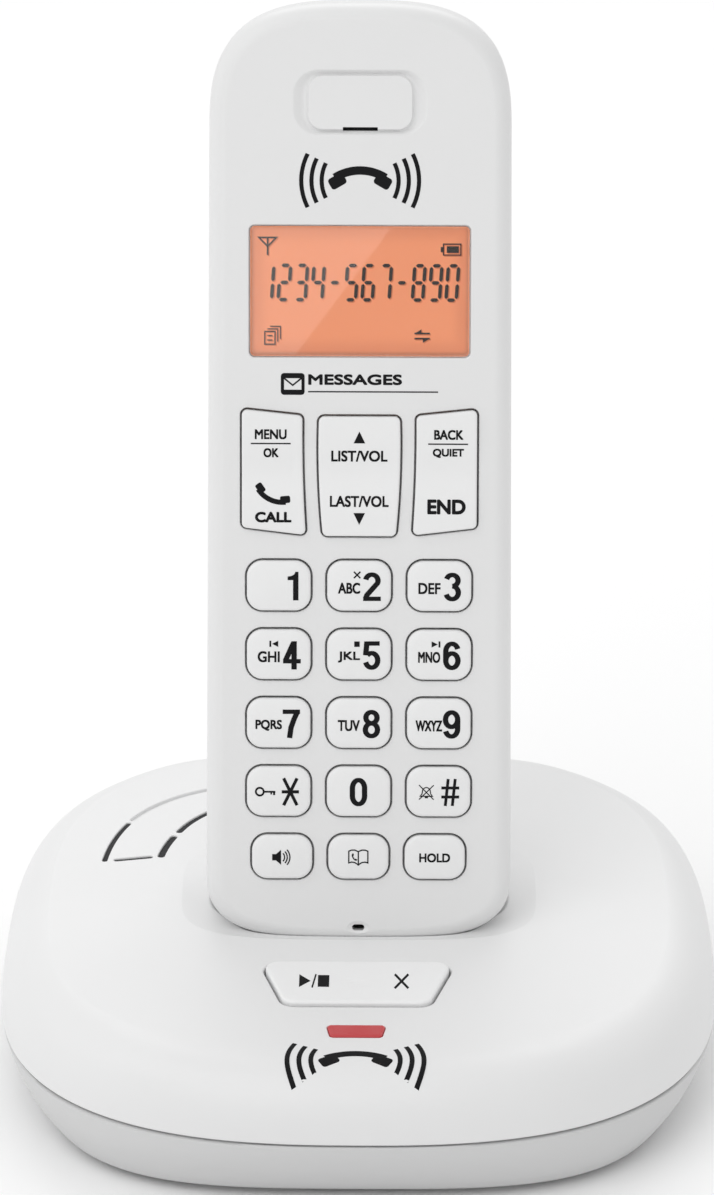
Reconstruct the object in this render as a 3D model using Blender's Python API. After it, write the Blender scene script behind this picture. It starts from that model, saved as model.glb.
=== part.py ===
"""Cordless phone standing in its answering base.

The handset is built in its own frame (x across, y from the face into the body, z from
foot to head) and leaned back by a parent empty.  The pieces set into the sloping top of
the base are built in the frame of that slope.  All sizes are in millimetres.
"""
import math

import bmesh
import bpy
from mathutils import Vector

MM = 0.001

# Base: a superellipse in plan with a gently sloping top and a tapered lower shell.
BASE_HALF_WIDTH = 56.8
BASE_HALF_DEPTH = 57.4
FRONT_POWER = 2.6
BACK_POWER = 3.0
SEAM_Z = 10.6
SEAM_GAP = 0.3
FACE_FRONT_Z = 21.6
FACE_BACK_Z = 27.6
BASE_ROUND = 5.5
FOOT_HALF_WIDTH = 48.9
FOOT_HALF_DEPTH = 53.2
FOOT_POWER = 3.5
LOWER_BOW = 0.024
LOWER_LEVELS = (0.0, 0.35, 0.7, 1.0)
UNDERSIDE_Z = 1.0
UNDERSIDE_EDGE = 0.8
BASE_WALL = 2.0
BASE_POINTS = 52
FACE_MID_Z = (FACE_FRONT_Z + FACE_BACK_Z) / 2
FACE_SLOPE = math.atan2(FACE_BACK_Z - FACE_FRONT_Z, 2 * BASE_HALF_DEPTH)

# Handset: straight sides, superelliptical ends, soft front edge, rounded back.
HANDSET_LEAN = math.radians(14.0)
HANDSET_FOOT = (0.0, -11.4, 22.2)
HANDSET_LENGTH = 148.0
HANDSET_HALF_WIDTH = 24.05
HANDSET_TAPER = 0.7
HANDSET_THICK = 26.0
HANDSET_WALL = 1.8
TOP_END = 20.0
FOOT_END = 11.5
END_POWER = 2.95
FRONT_ROUND = 2.65
FRONT_ROUND_DEPTH = 3.2
PARTING = 10.0
BACK_ROUND_SIDE = 7.2
BACK_ROUND_TOP = 12.0
BACK_RISE_FOOT = 27.0
END_POINTS = 11
WELL_GAP = 0.7

# Keys: three columns, four rows of large keys and one row of smaller keys.
KEY_PITCH_X = 12.55
KEY_PITCH_Z = 10.88
KEY_ROW_Z = 57.3
KEY_SIZE = (9.95, 7.85)
KEY_CORNER = 2.45
LOW_ROW_Z = 14.2
LOW_PITCH_X = 12.0
LOW_KEY_SIZE = (9.45, 6.95)
KEY_GAP = 0.3
KEY_PROUD = 0.8
KEY_FLANGE = 0.7
FLANGE_Y = (2.2, 3.1)
ROCKER_FLANGE_Y = (2.6, 3.4)
ROCKER_AXIS = (3.0, 75.0)

# The three rocker keys under the display, as corners (x, z).
SIDE_ROCKER = ((9.2, 84.0), (18.15, 85.0), (18.15, 66.5), (8.7, 65.3))
MIDDLE_ROCKER = ((-6.25, 83.9), (6.25, 83.9), (5.7, 65.15), (-5.7, 65.15))
ROCKER_CORNER = 1.2

DISPLAY_CENTRE_Z = 103.4
DISPLAY_SIZE = (34.4, 20.6)
DISPLAY_CORNER = 0.9
LCD_VIEW = (33.6, 19.8)
LCD_Y = (2.2, 4.0)
LCD_HALF = (17.4, 10.6)
LIGHT_Y = (4.3, 5.7)
EARPIECE_Z = 132.7
EARPIECE_SIZE = (21.0, 10.2)
EARPIECE_ISLAND = (15.9, 8.2)
EARPIECE_DEPTH = 0.7
SOUND_SLOT = (5.4, 1.0)
MIC_SLOT = (2.0, 1.0)
MIC_SLOT_Z = 2.8

# Battery bay in the back of the handset and the cover that slides towards the foot.
COVER_HALF_WIDTH = 16.5
COVER_Z = (22.5, 76.0)
COVER_INNER_Y = 24.3
COVER_CLEAR = 0.3
CELL_RADIUS = 5.1
CELL_Z = (26.0, 70.5)
CELL_X = 5.6
CELL_Y = 18.6
BAY_HALF_WIDTH = 11.4
BAY_Z = (24.8, 71.7)
BAY_Y = 13.2
BAY_WALL = 1.6

# Two screws at the foot of the handset: a boss in the front shell, a post in the rear one.
HANDSET_SCREW = (15.0, 6.6)
HANDSET_BOSS = 2.4
HANDSET_PILOT = 1.2
HANDSET_POST = 3.3
HANDSET_BORE = 1.3
HANDSET_HEAD_SEAT = 2.3
HANDSET_HEAD_Y = 15.6

# Charge contacts in the foot of the handset and the spring pins under them.
CHARGE_X = 9.0
CHARGE_Y = 6.6
CHARGE_SLOT = (5.6, 4.6)
CHARGE_PLATE = (5.0, 4.0, 1.2)
PIN_HOLE = 1.5

# Controls set into the slope in front of the handset.
BASE_ROCKER = ((-15.0, -21.0), (15.0, -21.0), (11.2, -34.0), (-11.2, -34.0))
BASE_ROCKER_CORNER = 2.2
BASE_ROCKER_PIVOT = (0.0, -27.5, -2.5)
BASE_ROCKER_PROUD = 0.8
BUTTON_BOARD = ((-20, -46, -7.4), (20, -18, -5.9))
LAMP = ((-4.5, -40.3), (4.5, -40.3), (3.9, -43.8), (-3.9, -43.8))
LAMP_CORNER = 0.6
LAMP_Y = -42.1

FOOT_PLACES = ((-40, -27), (40, -27), (-40, 27), (40, 27))
FOOT_RADIUS = 5.0
FOOT_SEAT = 5.3
FOOT_SEAT_TOP = 2.1

# Four screws under the base run up through posts into bosses that hang from the top.
SCREW_PLACES = ((-36, -38), (36, -38), (-32, 42), (32, 42))
BASE_BOSS = 3.4
BASE_BOSS_FOOT = 9.4
BASE_PILOT = 1.6
BASE_PILOT_TOP = 17.0
BASE_POST = 4.2
BASE_POST_TOP = 9.0
BASE_BORE = 3.2
BASE_BORE_TOP = 6.0

SPEAKER_CENTRE = (-34.0, 27.0)
SPEAKER_RADIUS = 11.0
BASE_BOARD = ((-27, -38, 5.0), (27, 38, 6.6))

# Sockets in the back wall of the base: line socket (left) and power socket (right).
LINE_JACK_X = -14.0
LINE_JACK_HALF = 6.0
LINE_JACK_TOP = 14.0
LINE_JACK_LENGTH = 13.0
PLUG_HALF = 4.2
PLUG_Z = (5.6, 12.4)
LATCH_HALF = 1.8
LATCH_Z = (4.2, 6.0)
PLUG_DEPTH = 11.0
POWER_JACK_X = 14.0
POWER_JACK_HALF = 5.0
POWER_JACK_TOP = 13.5
POWER_JACK_LENGTH = 12.0
POWER_BARREL = 3.0
POWER_PIN = 1.0
JACK_FLOOR_Z = 3.0
JACK_GAP = 0.3
JACK_BACK_Y = 52.9


# ---------------------------------------------------------------- small helpers

def clear_scene():
    for obj in list(bpy.data.objects):
        bpy.data.objects.remove(obj, do_unlink=True)


def material(name, colour, roughness, metallic=0.0):
    mat = bpy.data.materials.get(name)
    if mat is None:
        mat = bpy.data.materials.new(name)
        mat.use_nodes = True
        shader = mat.node_tree.nodes["Principled BSDF"]
        shader.inputs["Base Color"].default_value = (*colour, 1.0)
        shader.inputs["Roughness"].default_value = roughness
        shader.inputs["Metallic"].default_value = metallic
    return mat


def frame_empty(name, place, turn_x):
    empty = bpy.data.objects.new(name, None)
    empty.location = [c * MM for c in place]
    empty.rotation_euler = (turn_x, 0.0, 0.0)
    bpy.context.scene.collection.objects.link(empty)
    return empty


def object_from_rings(name, rings, place=(0, 0, 0), parent=None):
    """Closed body skinned over a stack of equal-length rings; both ends are capped."""
    bm = bmesh.new()
    loops = [[bm.verts.new(Vector(p) * MM) for p in ring] for ring in rings]
    count = len(rings[0])
    for low, high in zip(loops, loops[1:]):
        for i in range(count):
            j = (i + 1) % count
            bm.faces.new((low[i], low[j], high[j], high[i]))
    bm.faces.new(loops[0])
    bm.faces.new(list(reversed(loops[-1])))
    bmesh.ops.recalc_face_normals(bm, faces=bm.faces)
    return object_from_bmesh(name, bm, place, parent)


def object_from_bmesh(name, bm, place=(0, 0, 0), parent=None):
    mesh = bpy.data.meshes.new(name)
    bm.to_mesh(mesh)
    bm.free()
    obj = bpy.data.objects.new(name, mesh)
    obj.location = [c * MM for c in place]
    obj.parent = parent
    bpy.context.scene.collection.objects.link(obj)
    return obj


def box(name, low, high, place=(0, 0, 0), parent=None):
    """Box between two corners given relative to its place."""
    corners = [(low[0], low[1]), (high[0], low[1]), (high[0], high[1]), (low[0], high[1])]
    rings = [[(x, y, z) for x, y in corners] for z in (low[2], high[2])]
    return object_from_rings(name, rings, place, parent)


def lathe(name, profile, axis, place=(0, 0, 0), parent=None, count=20):
    """Round body from (radius, distance along the axis) pairs; axis is "y" or "z"."""
    rings = []
    for radius, along in profile:
        ring = []
        for i in range(count):
            turn = 2 * math.pi * i / count
            u = radius * math.cos(turn)
            v = radius * math.sin(turn)
            ring.append((u, along, v) if axis == "y" else (u, v, along))
        rings.append(ring)
    return object_from_rings(name, rings, place, parent)


def combine(target, tool, operation):
    """Apply an exact boolean of target with tool and delete the tool."""
    bpy.context.view_layer.update()
    change = target.modifiers.new("combine", "BOOLEAN")
    change.operation = operation
    change.solver = "EXACT"
    change.object = tool
    graph = bpy.context.evaluated_depsgraph_get()
    mesh = bpy.data.meshes.new_from_object(target.evaluated_get(graph))
    target.modifiers.clear()
    target.data = mesh
    bpy.data.objects.remove(tool, do_unlink=True)


def cut(target, tool):
    combine(target, tool, "DIFFERENCE")


def add(target, tool):
    combine(target, tool, "UNION")


def finish(obj, mat, smooth_angle=32.0):
    """Give the piece its material and smooth shading across gentle edges."""
    mesh = obj.data
    mesh.materials.clear()
    mesh.materials.append(mat)
    for polygon in mesh.polygons:
        polygon.use_smooth = True
        polygon.material_index = 0
    mesh.set_sharp_from_angle(angle=math.radians(smooth_angle))
    return obj


def rounded_polygon(corners, radius, steps, grow=0.0):
    """Convex polygon with rounded corners, moved outwards by grow; corners in order."""
    count = len(corners)
    points = []
    for i in range(count):
        here = Vector(corners[i])
        back = (Vector(corners[i - 1]) - here).normalized()
        ahead = (Vector(corners[(i + 1) % count]) - here).normalized()
        middle = (back + ahead).normalized()
        half = math.acos(max(-1.0, min(1.0, back.dot(ahead)))) / 2
        hub = here + middle * (radius / math.sin(half))
        first = hub - here - back * (hub - here).dot(back)
        start = math.atan2(-first.y, -first.x)
        second = hub - here - ahead * (hub - here).dot(ahead)
        end = math.atan2(-second.y, -second.x)
        sweep = (end - start + math.pi) % (2 * math.pi) - math.pi
        for k in range(steps + 1):
            turn = start + sweep * k / steps
            reach = radius + grow
            points.append((hub.x + reach * math.cos(turn), hub.y + reach * math.sin(turn)))
    turned = sum(a[0] * b[1] - a[1] * b[0] for a, b in zip(points, points[1:] + points[:1]))
    if turned < 0:
        points.reverse()
    return points


def rectangle(size, centre=(0.0, 0.0)):
    w = size[0] / 2
    h = size[1] / 2
    cx, cz = centre
    return ((cx - w, cz - h), (cx + w, cz - h), (cx + w, cz + h), (cx - w, cz + h))


def prism(name, corners, radius, low, high, plane, parent=None, grow=0.0, steps=4):
    """Straight prism over a rounded polygon lying in the "xz" or "xy" plane."""
    points = rounded_polygon(corners, radius, steps, grow)
    rings = []
    for level in (low, high):
        if plane == "xz":
            rings.append([(x, level, z) for x, z in points])
        else:
            rings.append([(x, y, level) for x, y in points])
    return object_from_rings(name, rings, parent=parent)


# ---------------------------------------------------------------- base shapes

def superellipse(half_width, half_depth, front_power, back_power, count=BASE_POINTS):
    """Points of a closed outline whose front and back halves may differ in fullness."""
    points = []
    for i in range(count):
        turn = 2 * math.pi * i / count
        c = math.cos(turn)
        s = math.sin(turn)
        power = back_power if s > 0 else front_power
        x = half_width * math.copysign(abs(c) ** (2 / power), c)
        y = half_depth * math.copysign(abs(s) ** (2 / power), s)
        points.append((x, y))
    return points


def face_z(y):
    """Height of the sloping top of the base at depth y."""
    return FACE_MID_Z + math.tan(FACE_SLOPE) * y


def upper_outline(inset):
    """Outline of the upper base, moved inwards by inset."""
    return superellipse(BASE_HALF_WIDTH - inset, BASE_HALF_DEPTH - inset, FRONT_POWER, BACK_POWER)


def base_rings(wall, floor_z, steps=4):
    """Rings of the upper base, from floor_z up over the rounded edge to the slope."""
    rings = []
    rings.append([(x, y, floor_z) for x, y in upper_outline(wall)])
    for k in range(1 if wall == 0 else 0, steps + 1):
        turn = math.pi / 2 * k / steps
        inset = wall + (BASE_ROUND - wall / 2) * (1 - math.cos(turn))
        lift = math.sin(turn)
        start = floor_z if wall == 0 else SEAM_Z
        rings.append([(x, y, start + (face_z(y) - wall - start) * lift)
                      for x, y in upper_outline(inset)])
    return rings


def handset_rings(outset, front=0.0, back=HANDSET_THICK):
    """Rings of the handset's outer form between two depths, grown by outset."""
    rings = []
    steps = 3
    if front <= 0.0:
        for k in range(steps + 1):
            turn = math.pi / 2 * k / steps
            inset = FRONT_ROUND * (1 - math.sin(turn))
            y = FRONT_ROUND_DEPTH * (1 - math.cos(turn)) - outset * math.cos(turn)
            rings.append(handset_outline(y, inset - outset, -outset + inset, inset - outset))
    else:
        rings.append(handset_outline(front, -outset, -outset, -outset))
    if back <= PARTING:
        rings.append(handset_outline(back, -outset, -outset, -outset))
        return rings
    steps = 5
    depth = back + outset - PARTING
    for k in range(0 if front <= 0.0 else 1, steps + 1):
        turn = math.pi / 2 * k / steps
        fall = 1 - math.cos(turn)
        y = PARTING + depth * math.sin(turn)
        rings.append(handset_outline(y, BACK_ROUND_SIDE * fall - outset,
                                     BACK_RISE_FOOT * fall - outset,
                                     BACK_ROUND_TOP * fall - outset))
    return rings


def handset_outline(y, side, foot, top):
    """Closed outline in the plane at depth y, inset by side, foot and top amounts."""
    points = []
    low = foot
    high = HANDSET_LENGTH - top
    low_end = max(FOOT_END - max(side, 0.0), 3.0)
    high_end = max(TOP_END - max(side, 0.0), 5.0)

    def half_width(z):
        return HANDSET_HALF_WIDTH - side - HANDSET_TAPER * max(z, 0.0) / HANDSET_LENGTH

    for i in range(END_POINTS + 1):
        turn = math.pi * i / END_POINTS
        c = math.cos(turn)
        s = math.sin(turn)
        z = high - high_end + high_end * abs(s) ** (2 / END_POWER)
        points.append((half_width(z) * math.copysign(abs(c) ** (2 / END_POWER), c), y, z))
    for i in range(END_POINTS + 1):
        turn = math.pi * i / END_POINTS
        c = -math.cos(turn)
        s = math.sin(turn)
        z = low + low_end - low_end * abs(s) ** (2 / END_POWER)
        points.append((half_width(z) * math.copysign(abs(c) ** (2 / END_POWER), c), y, z))
    return points


# ---------------------------------------------------------------- handset pieces

def make_front_shell(handset, mat):
    shell = object_from_rings("handset_front_shell", handset_rings(0.0, back=PARTING - 0.15),
                              parent=handset)
    inner = handset_rings(-HANDSET_WALL, back=PARTING)
    inner[-1] = [(x, PARTING + 2, z) for x, _, z in inner[-1]]
    cut(shell, object_from_rings("hollow", inner, parent=handset))
    for side in (-1, 1):
        place = (side * HANDSET_SCREW[0], 0, HANDSET_SCREW[1])
        boss = ((HANDSET_BOSS, HANDSET_WALL - 0.6), (HANDSET_BOSS, PARTING - 0.5))
        add(shell, lathe("boss", boss, "y", place, handset))
        pilot = ((HANDSET_PILOT, 4.0), (HANDSET_PILOT, PARTING + 1.0))
        cut(shell, lathe("pilot", pilot, "y", place, handset))
        half_x = CHARGE_SLOT[0] / 2
        half_y = CHARGE_SLOT[1] / 2
        cut(shell, box("slot", (-half_x, -half_y, -2.0), (half_x, half_y, 3.0),
                       (side * CHARGE_X, CHARGE_Y, 0), handset))
    for _, corners, corner, _ in key_table():
        cut(shell, prism("hole", corners, corner, -2, 4, "xz", handset, grow=KEY_GAP))
    for _, corners in rocker_table():
        cut(shell, prism("hole", corners, ROCKER_CORNER, -2, 4, "xz", handset, grow=KEY_GAP + 0.05))
    window = rectangle(DISPLAY_SIZE, (0, DISPLAY_CENTRE_Z))
    cut(shell, prism("seat", window, DISPLAY_CORNER, -2, 1.3, "xz", handset))
    view = rectangle(LCD_VIEW, (0, DISPLAY_CENTRE_Z))
    cut(shell, prism("view", view, DISPLAY_CORNER, -2, 4, "xz", handset))
    cut_earpiece(shell, handset)
    cut_slot(shell, handset, MIC_SLOT, MIC_SLOT_Z)
    return finish(shell, mat)


def cut_slot(shell, handset, size, z):
    """Small slot straight through the front wall, on the middle line at height z."""
    cut(shell, box("slot", (-size[0] / 2, -2, -size[1] / 2), (size[0] / 2, 3, size[1] / 2),
                   (0, 0, z), handset))


def cut_earpiece(shell, handset):
    """Shallow ring round a flush island, with the sound slot at its lower edge."""
    around = rectangle(EARPIECE_SIZE, (0, EARPIECE_Z))
    ring = prism("ring", around, 4.0, -1, EARPIECE_DEPTH, "xz", handset, steps=6)
    island = rectangle(EARPIECE_ISLAND, (0, EARPIECE_Z))
    cut(ring, prism("keep", island, 2.2, -2, 1.2, "xz", handset, steps=6))
    cut(shell, ring)
    cut_slot(shell, handset, SOUND_SLOT, EARPIECE_Z - EARPIECE_ISLAND[1] / 2)


def make_rear_shell(handset, mat):
    rings = handset_rings(0.0, front=PARTING + 0.15)
    shell = object_from_rings("handset_rear_shell", rings, parent=handset)
    hollow = object_from_rings("hollow", handset_rings(-HANDSET_WALL, front=PARTING - 2),
                               parent=handset)
    bay = (BAY_HALF_WIDTH + BAY_WALL, BAY_Z[0] - BAY_WALL, BAY_Z[1] + BAY_WALL)
    cut(hollow, box("bay", (-bay[0], BAY_Y - BAY_WALL, bay[1]), (bay[0], 30, bay[2]), parent=handset))
    seat_y = COVER_INNER_Y - COVER_CLEAR
    roof = COVER_HALF_WIDTH + COVER_CLEAR + HANDSET_WALL
    cut(hollow, box("seat", (-roof, seat_y - HANDSET_WALL, -5), (roof, 30, COVER_Z[1] + 2.5),
                    parent=handset))
    for side in (-1, 1):
        place = (side * HANDSET_SCREW[0], 0, HANDSET_SCREW[1])
        cut(hollow, lathe("post", ((HANDSET_POST, 10.8), (HANDSET_POST, 30.0)), "y", place, handset))
    cut(shell, hollow)
    recess = COVER_HALF_WIDTH + COVER_CLEAR
    cut(shell, box("recess", (-recess, seat_y, -5), (recess, 30, COVER_Z[1] + COVER_CLEAR),
                   parent=handset))
    cut(shell, box("bay", (-BAY_HALF_WIDTH, BAY_Y, BAY_Z[0]), (BAY_HALF_WIDTH, 30, BAY_Z[1]),
                   parent=handset))
    for side in (-1, 1):
        place = (side * HANDSET_SCREW[0], 0, HANDSET_SCREW[1])
        bore = ((HANDSET_BORE, 9.0), (HANDSET_BORE, HANDSET_HEAD_Y),
                (HANDSET_HEAD_SEAT, HANDSET_HEAD_Y), (HANDSET_HEAD_SEAT, 30.0))
        cut(shell, lathe("bore", bore, "y", place, handset))
    return finish(shell, mat)


def make_battery_cover(handset, mat):
    low, high = COVER_Z
    half = COVER_HALF_WIDTH
    back = HANDSET_THICK - COVER_INNER_Y
    profile = ((0.0, 0.0), (0.0, back * 0.5), (0.6, back * 0.85), (1.6, back))
    points = rectangle((2 * half, high - low), (0, (high - low) / 2))
    rings = [[(x, y, z) for x, z in rounded_polygon(points, 3.0, 4, -inset)]
             for inset, y in profile]
    cover = object_from_rings("battery_cover", rings, (0, COVER_INNER_Y, low), handset)
    for k in range(4):
        z = 5.0 + 2.2 * k
        rib = box("rib", (-7 + k, back - 0.6, z - 0.4), (7 - k, back + 0.4, z + 0.4),
                  (0, COVER_INNER_Y, low), handset)
        add(cover, rib)
    return finish(cover, mat)


def key_table():
    """Name, corners, corner radius and centre of the fifteen push keys."""
    names = (("key_1", "key_2", "key_3"), ("key_4", "key_5", "key_6"),
             ("key_7", "key_8", "key_9"), ("key_star", "key_0", "key_hash"))
    keys = []
    for row, trio in enumerate(names):
        for column, name in enumerate(trio):
            centre = ((column - 1) * KEY_PITCH_X, KEY_ROW_Z - row * KEY_PITCH_Z)
            keys.append((name, rectangle(KEY_SIZE, centre), KEY_CORNER, centre))
    for column, name in enumerate(("key_speaker", "key_phonebook", "key_recall")):
        centre = ((column - 1) * LOW_PITCH_X, LOW_ROW_Z)
        keys.append((name, rectangle(LOW_KEY_SIZE, centre), KEY_CORNER, centre))
    return keys


def rocker_table():
    mirrored = tuple((-x, z) for x, z in SIDE_ROCKER)
    return (("rocker_menu_talk", mirrored), ("rocker_up_down", MIDDLE_ROCKER),
            ("rocker_mute_off", SIDE_ROCKER))


def key_rings(corners, corner, centre, flange, axis_y=0.0, steps=3):
    """Rings of a key cap with a hidden flange, relative to its own origin."""
    profile = ((KEY_FLANGE, flange[1]), (KEY_FLANGE, flange[0]), (0.0, flange[0]),
               (0.0, -KEY_PROUD * 0.4), (-0.35, -KEY_PROUD * 0.85), (-1.1, -KEY_PROUD))
    rings = []
    for grow, y in profile:
        points = rounded_polygon(corners, corner, steps, grow)
        rings.append([(x - centre[0], y - axis_y, z - centre[1]) for x, z in points])
    return rings


def make_keys(handset, mat):
    for name, corners, corner, centre in key_table():
        rings = key_rings(corners, corner, centre, FLANGE_Y)
        finish(object_from_rings(name, rings, (centre[0], 0, centre[1]), handset), mat)


def make_rockers(handset, mat):
    axis_y, axis_z = ROCKER_AXIS
    for name, corners in rocker_table():
        middle = sum(c[0] for c in corners) / len(corners)
        rings = key_rings(corners, ROCKER_CORNER, (middle, axis_z), ROCKER_FLANGE_Y, axis_y, 3)
        finish(object_from_rings(name, rings, (middle, axis_y, axis_z), handset), mat)


def make_display(handset, window_mat, lcd_mat, light_mat):
    glass = rectangle((DISPLAY_SIZE[0] - 0.4, DISPLAY_SIZE[1] - 0.4), (0, DISPLAY_CENTRE_Z))
    finish(prism("display_window", glass, DISPLAY_CORNER, 0.05, 1.0, "xz", handset), window_mat)
    wide, high = LCD_HALF
    place = (0, 0, DISPLAY_CENTRE_Z)
    finish(box("lcd_panel", (-wide, LCD_Y[0], -high), (wide, LCD_Y[1], high), place, handset),
           lcd_mat)
    wide -= 0.4
    high -= 0.4
    finish(box("lcd_backlight", (-wide, LIGHT_Y[0], -high), (wide, LIGHT_Y[1], high), place,
               handset), light_mat)


def make_handset_electronics(handset, board_mat, rubber_mat, steel_mat):
    board = box("handset_circuit_board", (-20, 6.2, 11), (20, 7.6, 120), parent=handset)
    finish(board, board_mat)
    membrane = box("keypad_membrane", (-19.8, 4.6, 9.6), (19.8, 5.6, 88), parent=handset)
    finish(membrane, rubber_mat)
    speaker = lathe("earpiece_speaker", ((8.0, 2.4), (9.0, 2.9), (9.0, 3.8), (5.5, 4.2), (5.5, 6.4)),
                    "y", (0, 0, 131.0), handset)
    finish(speaker, steel_mat)
    mic = lathe("microphone", ((2.6, 2.6), (2.6, 5.4)), "y", (0, 0, 6.0), handset, count=16)
    finish(mic, steel_mat)


def make_battery(handset, cell_mat, metal_mat):
    length = CELL_Z[1] - CELL_Z[0]
    nub = 0.8
    body = ((3.6, 0.0), (CELL_RADIUS, 0.5), (CELL_RADIUS, length - nub - 0.5), (3.6, length - nub),
            (1.9, length - nub), (1.9, length))
    for name, x, flip in (("battery_cell_left", -CELL_X, False), ("battery_cell_right", CELL_X, True)):
        profile = [(r, length - z if flip else z) for r, z in body]
        cell = lathe(name, profile, "z", (x, CELL_Y, CELL_Z[0]), handset)
        finish(cell, cell_mat)
    plate = 0.5
    gap = 0.3
    reach = CELL_X + 3.6
    link_z = BAY_Z[0] + gap
    finish(box("battery_link_plate", (-reach, -3.4, 0), (reach, 3.4, plate),
               (0, CELL_Y, link_z), handset), metal_mat)
    for name, x in (("battery_contact_left", -CELL_X), ("battery_contact_right", CELL_X)):
        top_z = BAY_Z[1] - gap - plate
        finish(box(name, (-3.6, -3.4, 0), (3.6, 3.4, plate), (x, CELL_Y, top_z), handset), metal_mat)


def make_handset_fastenings(handset, steel_mat, contact_mat):
    for side, word in ((-1, "left"), (1, "right")):
        profile = ((0.9, 5.0), (0.9, 15.9), (1.9, 15.9), (1.9, 17.2), (1.2, 17.6))
        screw = lathe("handset_screw_" + word, profile, "y",
                      (side * HANDSET_SCREW[0], 0, HANDSET_SCREW[1]), handset, count=16)
        finish(screw, steel_mat)
        wide, deep, high = CHARGE_PLATE
        contact = box("handset_charge_contact_" + word, (-wide / 2, -deep / 2, 0.0),
                      (wide / 2, deep / 2, high), (side * CHARGE_X, CHARGE_Y, 0.25), handset)
        finish(contact, contact_mat)


# ---------------------------------------------------------------- base pieces

def make_base_top(handset, slope, mat):
    shell = object_from_rings("base_top_shell", base_rings(0.0, SEAM_Z + SEAM_GAP / 2))
    hollow = object_from_rings("hollow", base_rings(BASE_WALL, SEAM_Z - 3))
    cut(hollow, object_from_rings("well_walls", handset_rings(WELL_GAP + BASE_WALL),
                                  parent=handset))
    for x, y in SCREW_PLACES:
        cut(hollow, lathe("boss", ((BASE_BOSS, BASE_BOSS_FOOT), (BASE_BOSS, 40)), "z", (x, y, 0)))
    cut(shell, hollow)
    add_bosses_below_seam(shell)
    cut(shell, object_from_rings("well", handset_rings(WELL_GAP), parent=handset))
    for side in (-1, 1):
        cut(shell, lathe("pin_hole", ((PIN_HOLE, -8), (PIN_HOLE, 2)), "z",
                         (side * CHARGE_X, CHARGE_Y, 0), handset, count=16))
    for x, y in SCREW_PLACES:
        cut(shell, lathe("pilot", ((BASE_PILOT, 5), (BASE_PILOT, BASE_PILOT_TOP)), "z", (x, y, 0),
                         count=16))
    cut(shell, prism("hole", BASE_ROCKER, BASE_ROCKER_CORNER, -8, 3, "xy", slope, grow=0.4))
    cut(shell, prism("hole", LAMP, LAMP_CORNER, -8, 3, "xy", slope, grow=0.2))
    for points, width, depth in speaker_slots():
        cut(shell, ribbon("sound_slot", points, width, -depth, 3.0))
    cut_jack_windows(shell)
    return finish(shell, mat)


def add_bosses_below_seam(shell):
    """The screw bosses reach a little below the seam into the lower shell's posts."""
    for x, y in SCREW_PLACES:
        add(shell, lathe("boss", ((BASE_BOSS, BASE_BOSS_FOOT), (BASE_BOSS, 14.0)), "z", (x, y, 0)))


def outline_point(scale, turn):
    """Point of the back half of the outline, shrunk; turn runs from the back to the left."""
    c = math.cos(turn)
    s = math.sin(turn)
    x = -scale * BASE_HALF_WIDTH * math.copysign(abs(s) ** (2 / BACK_POWER), s)
    y = scale * BASE_HALF_DEPTH * math.copysign(abs(c) ** (2 / BACK_POWER), c)
    return x, y


def arc_between(start, end, start_scale, end_scale, count=6):
    points = []
    for k in range(count + 1):
        share = k / count
        turn = math.radians(start + (end - start) * share)
        points.append(outline_point(start_scale + (end_scale - start_scale) * share, turn))
    return points


def speaker_slots():
    """Centre line, width and depth of the slots that frame the sound outlet, back left.

    The long slot along the back is only a shallow groove; the others go through.
    """
    through = 6.0
    groove = 0.7
    return ((arc_between(80, 61, 0.733, 0.730), 0.9, through),
            (arc_between(58.5, 29.5, 0.730, 0.723, 12), 0.9, groove),
            (arc_between(73, 59, 0.583, 0.589), 1.1, through),
            (arc_between(55.5, 29, 0.591, 0.618, 12), 1.1, through),
            ([(-39.9, 13.2), (-33.2, 14.5)], 0.6, through))


def ribbon(name, points, width, low, high):
    """Strip of constant width along a line of (x, y) points, between levels of the slope."""
    left = []
    right = []
    last = len(points) - 1
    for i, (x, y) in enumerate(points):
        ahead = Vector(points[min(i + 1, last)]) - Vector(points[max(i - 1, 0)])
        ahead.normalize()
        left.append((x - ahead.y * width / 2, y + ahead.x * width / 2))
        right.append((x + ahead.y * width / 2, y - ahead.x * width / 2))
    outline = left + right[::-1]
    rings = [[(x, y, face_z(y) + level) for x, y in outline] for level in (low, high)]
    return object_from_rings(name, rings)


def cut_jack_windows(shell):
    for x, half, top in ((LINE_JACK_X, LINE_JACK_HALF, LINE_JACK_TOP),
                         (POWER_JACK_X, POWER_JACK_HALF, POWER_JACK_TOP)):
        reach = half + JACK_GAP
        cut(shell, box("window", (x - reach, 44, JACK_FLOOR_Z - JACK_GAP),
                       (x + reach, 70, top + JACK_GAP)))


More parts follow.
